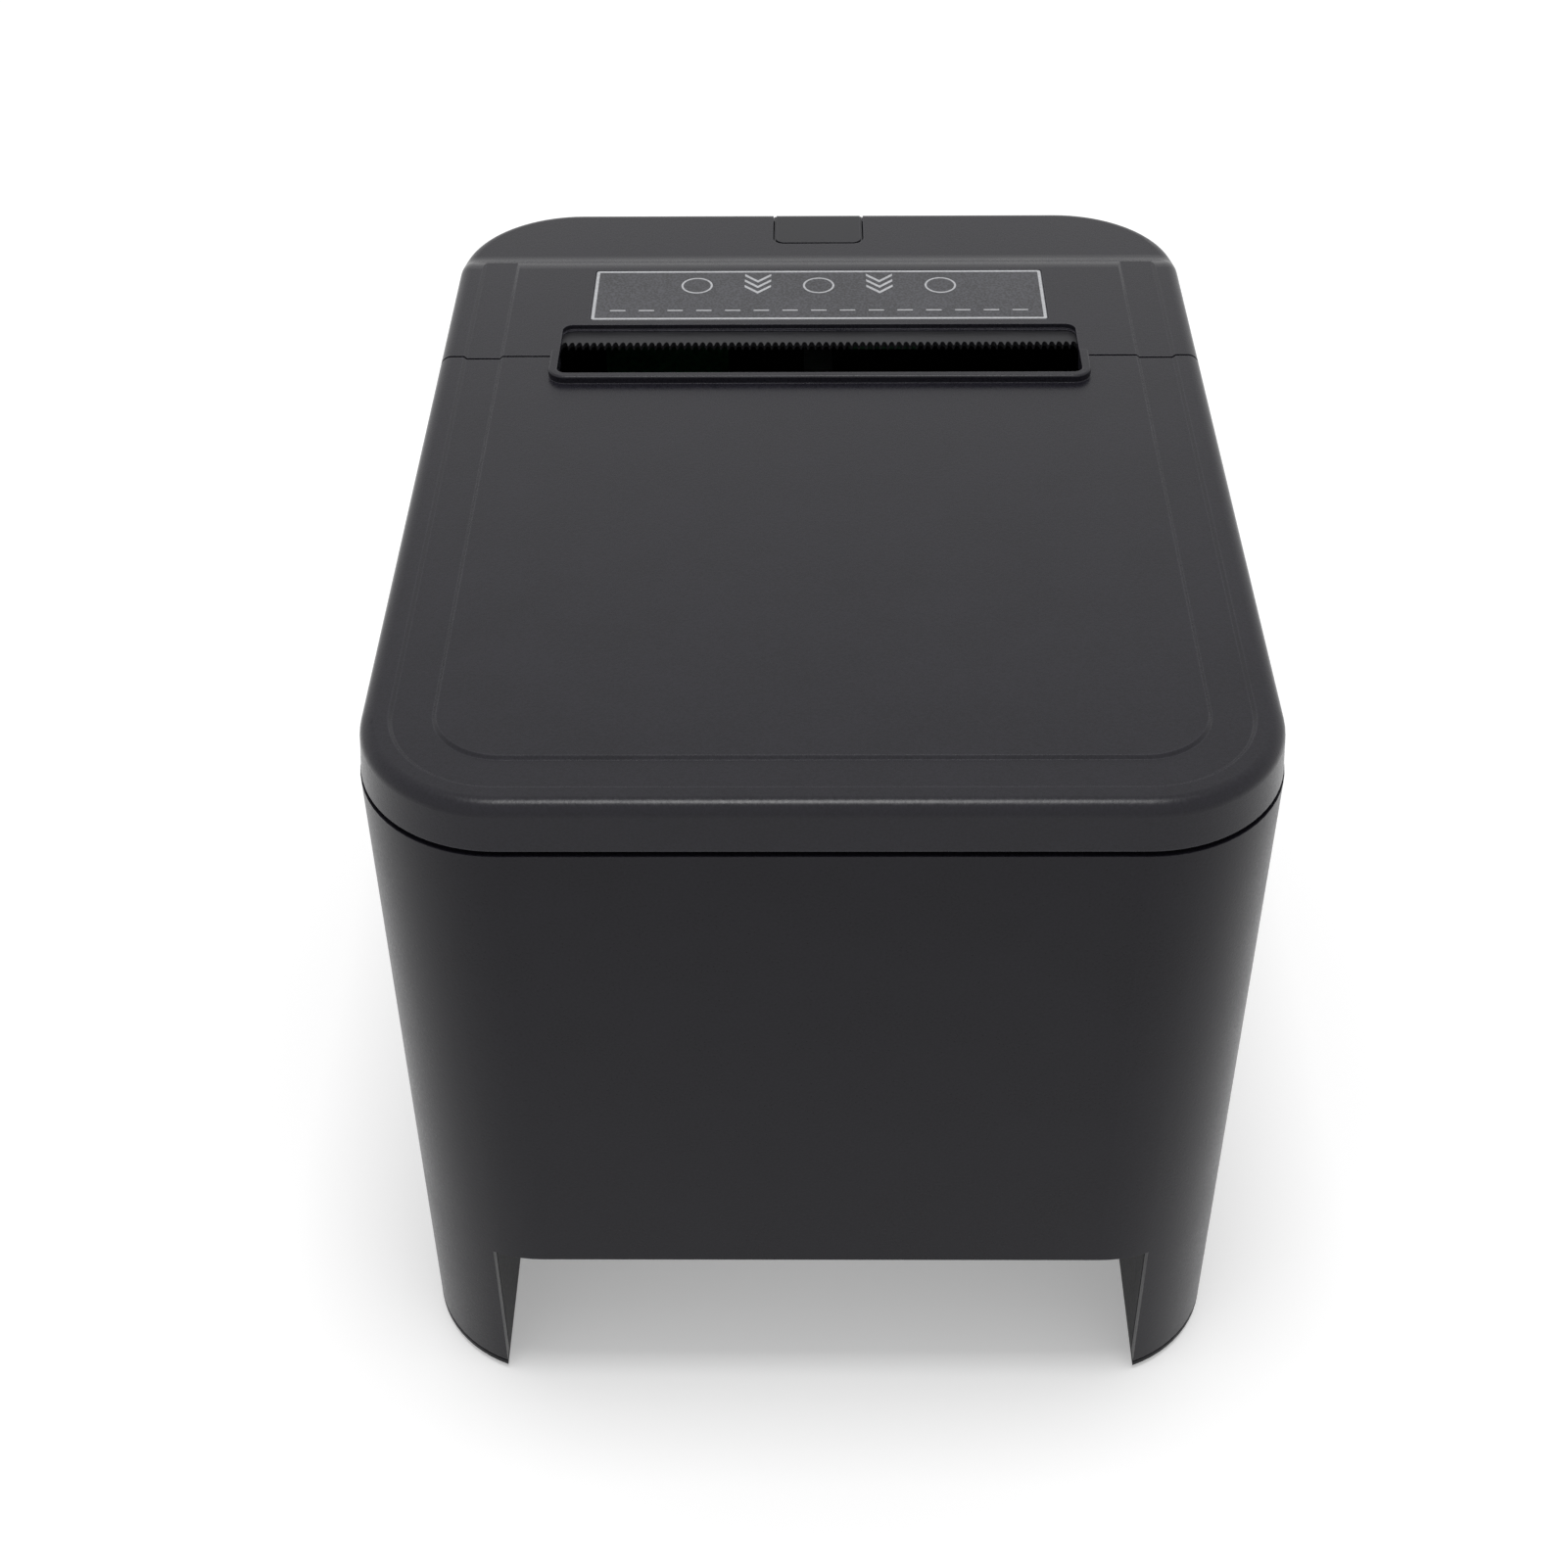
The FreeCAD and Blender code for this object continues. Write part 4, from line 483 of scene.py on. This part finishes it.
def plate(outline: np.ndarray, low: float, high: float) -> MeshArrays:
    """A flat plate over a strip outline whose first half runs opposite to its second half.

    Point i of the first half faces point n - 1 - i of the second, so the top and the underside are rows of
    quads between the halves, and the rim joins each outline point to the next.

    Args:
        outline: an even number of rows of x and y, anticlockwise.
        low: height of the underside.
        high: height of the top.

    Returns:
        Points and faces.
    """
    count = len(outline)
    under = np.hstack([outline, np.full((count, 1), low)])
    upper = np.hstack([outline, np.full((count, 1), high)])
    i = np.arange(count // 2 - 1)
    top = np.stack([i, i + 1, count - 2 - i, count - 1 - i], axis=-1) + count
    bottom = np.stack([count - 1 - i, count - 2 - i, i + 1, i], axis=-1)
    k = np.arange(count)
    rim = np.stack([k, (k + 1) % count, (k + 1) % count + count, k + count], axis=-1)
    return np.vstack([under, upper]), np.vstack([top, bottom, rim])


def rounded_loop(half: float, low: float, high: float, radius: float, steps: int = 8) -> np.ndarray:
    """A rectangle with rounded corners, as points that run anticlockwise.

    Each corner is a quarter circle about its own centre, from the angle of the side before it.

    Args:
        half: half of the width along x.
        low: lower limit in y.
        high: upper limit in y.
        radius: corner radius.
        steps: points in each corner.

    Returns:
        Rows of x and y.
    """
    turn = np.linspace(0, math.pi / 2, steps)
    right, left, top, bottom = half - radius, radius - half, high - radius, low + radius
    centres = np.array([(right, top), (left, top), (left, bottom), (right, bottom)])
    angles = turn[None, :] + np.arange(4)[:, None] * math.pi / 2
    arc = np.stack([np.cos(angles), np.sin(angles)], axis=-1) * radius
    return (centres[:, None, :] + arc).reshape(-1, 2)


def circle(radius: float, count: int = 48) -> np.ndarray:
    """A circle about the origin, anticlockwise.

    Args:
        radius: its radius.
        count: how many points it has.

    Returns:
        Rows of x and y.
    """
    angle = np.linspace(0, 2 * math.pi, count, endpoint=False)
    return np.stack([np.cos(angle), np.sin(angle)], axis=-1) * radius


def oblong(width: float, height: float) -> np.ndarray:
    """A rectangle about the origin, anticlockwise.

    Args:
        width: its size along x.
        height: its size along y.

    Returns:
        Four rows of x and y.
    """
    return np.array([(width, -height), (width, height), (-width, height), (-width, -height)]) / 2


def chevron(half: float, wing: float, tip: float, thick: float) -> np.ndarray:
    """A bent strip with two arms that points along y, anticlockwise.

    The upper edge runs from one arm's end over the tip to the other, and the lower edge returns below it.

    Args:
        half: half of its width.
        wing: how far the ends of the arms lie below the origin.
        tip: how far the tip lies above the origin.
        thick: thickness of the strip along y.

    Returns:
        Six rows of x and y.
    """
    upper = np.array([(half, -wing), (0.0, tip), (-half, -wing)])
    lower = upper - np.array([0.0, thick])
    return np.vstack([upper, lower[::-1]])


@dataclass
class LabelPrint:
    """The pale print on the label film: a border, rings round the light windows, feed arrows and a cut line."""

    line: float = 0.62 * MM
    border_inset: float = 0.12 * MM
    corner: float = 0.5 * MM
    inner_corner: float = 0.2 * MM
    ink: float = 0.02 * MM
    lens_half: float = 2.4 * MM
    ring_radius: float = 3.1 * MM
    ring_line: float = 0.4 * MM
    arrow_half: float = 2.6 * MM
    arrow_wing: float = 1.56 * MM
    arrow_tip: float = 1.04 * MM
    arrow_thick: float = 0.88 * MM
    arrow_step: float = 2.2 * MM
    arrows: int = 3
    dash: float = 3.0 * MM
    dashes: int = 15
    dash_inset: float = 3.6 * MM

    def build(self) -> List[bpy.types.Object]:
        """Makes every printed mark.

        The rings stand round the lenses, whose middles are found from the box round them, and the arrows stand
        halfway between the rings.

        Returns:
            The new pieces.
        """
        low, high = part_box("status_label")
        top = high.z
        lens_low, lens_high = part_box("indicator_lenses")
        row = (lens_low.y + lens_high.y) / 2
        reach = lens_high.x - self.lens_half
        pieces = [self.border(low, high, top)]
        for number, x in enumerate((-reach, 0.0, reach)):
            pieces.append(self.ring("label_ring_%d" % number, x, row, top))
        for number, x in enumerate((-reach / 2, reach / 2)):
            for step in range(self.arrows):
                y = row + (step - 1) * self.arrow_step
                pieces.append(self.arrow("label_arrow_%d_%d" % (number, step), x, y, top))
        half = high.x - self.dash_inset - self.dash / 2
        for number, x in enumerate(np.linspace(-half, half, self.dashes)):
            pieces.append(self.dash_mark("label_dash_%d" % number, float(x), high.y - self.dash_inset, top))
        return pieces

    def line_mark(self, name: str, outer: np.ndarray, inner: np.ndarray, top: float) -> bpy.types.Object:
        """Prints one closed line that stands a hair proud of the film.

        Args:
            name: the piece's name.
            outer: the line's outer loop.
            inner: its inner loop, point for point.
            top: height of the film.

        Returns:
            The new piece.
        """
        return ink_piece(name, band(outer, inner, top - self.ink, top + self.ink), "base")

    def flat_mark(self, name: str, outline: np.ndarray, top: float) -> bpy.types.Object:
        """Prints one filled shape that stands a hair proud of the film.

        Args:
            name: the piece's name.
            outline: the shape's outline.
            top: height of the film.

        Returns:
            The new piece.
        """
        return ink_piece(name, plate(outline, top - self.ink, top + self.ink), "base")

    def border(self, low: Vector, high: Vector, top: float) -> bpy.types.Object:
        """Prints the frame line along the label's edge.

        Args:
            low: the label's lower corner.
            high: its upper corner.
            top: height of the film.

        Returns:
            The new piece.
        """
        outside, inside = self.border_inset, self.border_inset + self.line
        outer = rounded_loop(high.x - outside, low.y + outside, high.y - outside, self.corner)
        inner = rounded_loop(high.x - inside, low.y + inside, high.y - inside, self.inner_corner)
        return self.line_mark("label_border", outer, inner, top)

    def ring(self, name: str, x: float, y: float, top: float) -> bpy.types.Object:
        """Prints a circle round a light window.

        Args:
            name: the piece's name.
            x: its middle in x.
            y: its middle in y.
            top: height of the film.

        Returns:
            The new piece.
        """
        centre = np.array([x, y])
        outer, inner = circle(self.ring_radius), circle(self.ring_radius - self.ring_line)
        return self.line_mark(name, centre + outer, centre + inner, top)

    def arrow(self, name: str, x: float, y: float, top: float) -> bpy.types.Object:
        """Prints a plain chevron that points to the paper slot.

        Args:
            name: the piece's name.
            x: its middle in x.
            y: its middle in y.
            top: height of the film.

        Returns:
            The new piece.
        """
        outline = chevron(self.arrow_half, self.arrow_wing, self.arrow_tip, self.arrow_thick)
        return self.flat_mark(name, np.array([x, y]) + outline, top)

    def dash_mark(self, name: str, x: float, y: float, top: float) -> bpy.types.Object:
        """Prints one short dash of the cut line.

        Args:
            name: the piece's name.
            x: its middle in x.
            y: its middle in y.
            top: height of the film.

        Returns:
            The new piece.
        """
        return self.flat_mark(name, np.array([x, y]) + oblong(self.dash, self.ring_line), top)


@dataclass(frozen=True)
class Face:
    """A flat face of the object: a point on it and the directions of its width and its height."""

    origin: Triple
    across: Triple
    along: Triple

    def place(self, arrays: MeshArrays) -> MeshArrays:
        """Moves a flat piece, drawn in x and y with z as the height over the face, onto the face.

        Args:
            arrays: points in the face's own directions, and faces.

        Returns:
            Points in the shared frame, and the same faces.
        """
        points, faces = arrays
        across, along = np.array(self.across), np.array(self.along)
        return np.array(self.origin) + points @ np.stack([across, along, np.cross(across, along)]), faces


@dataclass
class FrontMarks:
    """Small pale marks on the front: a chevron on the feed button, a bar and a ring on the power rocker."""

    line: float = 0.5 * MM
    ink: float = 0.02 * MM
    chevron_half: float = 2.0 * MM
    chevron_wing: float = 0.6 * MM
    chevron_tip: float = 1.2 * MM
    chevron_thick: float = 0.75 * MM
    bar: float = 3.2 * MM
    ring: float = 1.5 * MM
    rocker_depth: float = 2.2 * MM

    def build(self) -> List[bpy.types.Object]:
        """Makes the three marks.

        Returns:
            The new pieces.
        """
        return [self.feed(), *self.rocker()]

    def feed(self) -> bpy.types.Object:
        """Prints a chevron on the feed button's round face, in the plane of its front.

        Returns:
            The new piece.
        """
        low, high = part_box("feed_button")
        face = Face(((low.x + high.x) / 2, low.y, (low.z + high.z) / 2), (1.0, 0.0, 0.0), (0.0, 0.0, 1.0))
        outline = chevron(self.chevron_half, self.chevron_wing, self.chevron_tip, self.chevron_thick)
        return ink_piece("feed_mark", face.place(plate(outline, -self.ink, self.ink)), body_of("feed_button"))

    def rocker(self) -> List[bpy.types.Object]:
        """Prints a bar on the rocker's upper half and a ring on its lower half.

        The halves are found from the solid's own corners: of the front corners, the lowest, the middle and the
        highest one span the two flat halves.

        Returns:
            The new pieces.
        """
        corners = np.array([v.co[:] for v in frame["nodes"]["power_rocker"].data.vertices])
        centre = (corners[:, 0].min() + corners[:, 0].max()) / 2
        front = corners[corners[:, 1] < corners[:, 1].min() + self.rocker_depth]
        heights = front[np.argsort(front[:, 2])]
        foot, head = heights[0], heights[-1]
        waist = heights[np.argmin(abs(heights[:, 2] - (foot[2] + head[2]) / 2))]
        ring = band(circle(self.ring), circle(self.ring - self.line), -self.ink, self.ink)
        bar = plate(oblong(self.line, self.bar), -self.ink, self.ink)
        made = []
        for name, arrays, start, end in (("rocker_ring", ring, foot, waist), ("rocker_bar", bar, waist, head)):
            along = (end - start) * np.array([0.0, 1.0, 1.0])
            middle = (start + end) / 2
            face = Face((centre, middle[1], middle[2]), (1.0, 0.0, 0.0), tuple(along / np.linalg.norm(along)))
            made.append(ink_piece(name, face.place(arrays), body_of("power_rocker")))
        return made


@dataclass
class ButtonRibs:
    """Two thin ribs on the front cover that close the slits beside the release button against light."""

    clear: float = 0.03 * MM
    thick: float = 0.8 * MM
    length: float = 4.0 * MM
    front_inset: float = 0.3 * MM
    below_skin: float = 0.35 * MM
    over_case: float = 1.2 * MM
    least_height: float = 0.1 * MM
    look_level: float = 1.1 * MM
    look_aside: float = 1.0 * MM
    look_from: float = 10.0 * MM
    steps: int = 12

    def build(self) -> List[bpy.types.Object]:
        """Makes a rib on each side.

        Each rib starts a hair beside the button's stepped edge and reaches into the wall of the cover's notch,
        and its top follows the cover's skin, which is read from the solid by looking down on it. The cover's
        front is bowed, so that the foremost looks may miss it; they are left out.

        Returns:
            The new pieces.
        """
        skin = faces_of("front_cover")
        low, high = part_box("front_cover")
        back = low.y + self.length
        inner = self.button_side(skin, back, high.z)
        places = np.linspace(low.y + self.front_inset, back, self.steps)
        hits = [self.look_down(skin, inner + self.thick, y, high.z) for y in places]
        along, tops = np.array([(hit.y, hit.z) for hit in hits if hit is not None]).T
        under = np.full(len(along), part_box("outer_case")[1].z + self.over_case)
        upper = np.maximum(tops - self.below_skin, under + self.least_height)
        outline = np.vstack([np.stack([along, under], axis=-1), np.stack([along, upper], axis=-1)[::-1]])
        rib = plate(outline, 0.0, self.thick - self.clear)
        made = []
        for name, start in (("button_rib_right", inner + self.clear), ("button_rib_left", -inner - self.thick)):
            face = Face((start, 0.0, 0.0), (0.0, 1.0, 0.0), (0.0, 0.0, 1.0))
            made.append(mesh_piece(name, face.place(rib), COVER_ABS, "base"))
        return made

    def look_down(self, skin: BVHTree, x: float, y: float, top: float) -> Optional[Vector]:
        """Looks down on the cover.

        Args:
            skin: the cover's faces.
            x: where to look, across.
            y: where to look, along.
            top: height of the cover's top.

        Returns:
            The point of the cover that is seen, or None beside it.
        """
        return skin.ray_cast(Vector((x, y, top + self.look_from)), Vector((0, 0, -1)))[0]

    def button_side(self, skin: BVHTree, y: float, top: float) -> float:
        """Finds the side of the button's stepped edge by looking sideways at it, just below the cover's skin.

        Args:
            skin: the cover's faces.
            y: where to look.
            top: height of the cover's top.

        Returns:
            The distance of that side from the middle.
        """
        aside = max(v.co.x for v in frame["nodes"]["release_button"].data.vertices) + self.look_aside
        level = self.look_down(skin, aside, y, top).z - self.look_level
        return faces_of("release_button").ray_cast(Vector((aside, y, level)), Vector((-1, 0, 0)))[0].x


@dataclass
class Studio:
    """The camera of the photograph, a pale floor, a white surround and one soft lamp."""

    focal_px: float = 2448.172
    photo_px: int = 1601
    sensor_mm: float = 36.0
    clip_start: float = 10.0 * MM
    pitch: float = 0.7069
    yaw: float = 0.01377
    roll: float = -0.00959
    eye: Triple = (1.944 * MM, 362.293 * MM, 371.738 * MM)
    fill: float = 0.6
    key_power: float = 9.0
    key_size: float = 0.5
    key_height: float = 1.5
    key_back: float = 0.1
    key_aim: Triple = (0.0, 0.0, 0.07)
    floor_half: float = 6.0
    floor_glow: float = 0.28

    def build(self) -> None:
        """Sets up camera, floor, world and lamp."""
        self.camera()
        self.floor()
        self.world()
        self.lamp()

    def camera(self) -> None:
        """Places the camera that was fitted to the photograph's edges.

        It looks along -y, turned by yaw, then down by pitch and round by roll, all in radians.
        """
        ahead = np.array([math.sin(self.yaw), -math.cos(self.yaw), 0.0])
        right = np.array([-math.cos(self.yaw), -math.sin(self.yaw), 0.0])
        upward = np.array([0.0, 0.0, 1.0])
        look = ahead * math.cos(self.pitch) - upward * math.sin(self.pitch)
        top = ahead * math.sin(self.pitch) + upward * math.cos(self.pitch)
        side = right * math.cos(self.roll) + top * math.sin(self.roll)
        top = top * math.cos(self.roll) - right * math.sin(self.roll)
        turned = np.eye(4)
        turned[:3, 0], turned[:3, 1], turned[:3, 2], turned[:3, 3] = side, top, -look, self.eye
        lens = bpy.data.cameras.new("camera")
        lens.sensor_width = self.sensor_mm
        lens.lens = self.focal_px / self.photo_px * self.sensor_mm
        lens.clip_start = self.clip_start
        item = bpy.data.objects.new("camera", lens)
        item.matrix_world = Matrix(turned.tolist())
        bpy.context.scene.collection.objects.link(item)
        bpy.context.scene.camera = item

    def seen(self, tree: Tree) -> Socket:
        """Tells the rays that show or mirror a thing from those that light with it.

        Args:
            tree: the node tree.

        Returns:
            A socket with 1 for camera, glossy and transmission rays, and 0 for the rest.
        """
        path = add_node(tree, "ShaderNodeLightPath").outputs
        some = calc(tree, "MAXIMUM", path["Is Camera Ray"], path["Is Glossy Ray"])
        return calc(tree, "MAXIMUM", some, path["Is Transmission Ray"])

    def floor(self) -> None:
        """Lays a plain pale floor that keeps the shadow and glows a little where it is seen."""
        half = self.floor_half
        mesh = bpy.data.meshes.new("floor")
        corners = [(-half, -half, 0), (half, -half, 0), (half, half, 0), (-half, half, 0)]
        mesh.from_pydata(corners, [], [(0, 1, 2, 3)])
        item = bpy.data.objects.new("floor", mesh)
        bpy.context.scene.collection.objects.link(item)
        made = bpy.data.materials.new("pale_floor")
        made.use_nodes = True
        tree = made.node_tree
        tree.nodes.clear()
        matt = add_node(tree, "ShaderNodeBsdfDiffuse", {"Color": linear(FLOOR_TONE)}).outputs[0]
        lit = {"Color": linear(WHITE), "Strength": self.floor_glow}
        glow = add_node(tree, "ShaderNodeEmission", lit).outputs[0]
        dark = add_node(tree, "ShaderNodeEmission", {"Strength": 0.0}).outputs[0]
        lift = add_node(tree, "ShaderNodeMixShader", {0: self.seen(tree), 1: dark, 2: glow}).outputs[0]
        both = add_node(tree, "ShaderNodeAddShader", {0: matt, 1: lift}).outputs[0]
        add_node(tree, "ShaderNodeOutputMaterial", {"Surface": both})
        mesh.materials.append(made)

    def world(self) -> None:
        """Surrounds the scene with white that is seen and reflected, and fills with less light."""
        world = bpy.data.worlds.new("white_surround")
        world.use_nodes = True
        tree = world.node_tree
        tree.nodes.clear()
        level = map_range(tree, self.seen(tree), (0.0, 1.0), (self.fill, 1.0))
        light = add_node(tree, "ShaderNodeBackground", {"Color": linear(WHITE), "Strength": level}).outputs[0]
        add_node(tree, "ShaderNodeOutputWorld", {"Surface": light})
        bpy.context.scene.world = world

    def lamp(self) -> None:
        """Hangs one soft lamp over the printer, a little towards its rear."""
        light = bpy.data.lights.new("key", "AREA")
        light.energy = self.key_power
        light.size = self.key_size
        item = bpy.data.objects.new("key", light)
        item.location = (0.0, self.key_back, self.key_height)
        aim = Vector(self.key_aim) - item.location
        item.rotation_euler = aim.to_track_quat("-Z", "Y").to_euler()
        bpy.context.scene.collection.objects.link(item)


def dress_nodes() -> None:
    """Gives every carried-over solid the finish of its material slot, or its own."""
    slots = {part["node"]: part["material_slot"] for part in frame["record"]["subparts"]}
    for name, item in frame["nodes"].items():
        finish = NODE_FINISHES.get(name) or SLOT_FINISHES[slots[name]]
        item.data.materials.clear()
        item.data.materials.append(MATERIALS.get(finish))
        LOG.info("%s dressed in %s", name, finish.name)


def main() -> None:
    """Dresses the solids, adds the printed marks and the ribs, and sets up the studio."""
    logging.basicConfig(level=logging.INFO)
    bpy.context.scene.view_settings.view_transform = "Standard"
    dress_nodes()
    LabelPrint().build()
    FrontMarks().build()
    ButtonRibs().build()
    Studio().build()


if __name__ == "__main__":
    main()
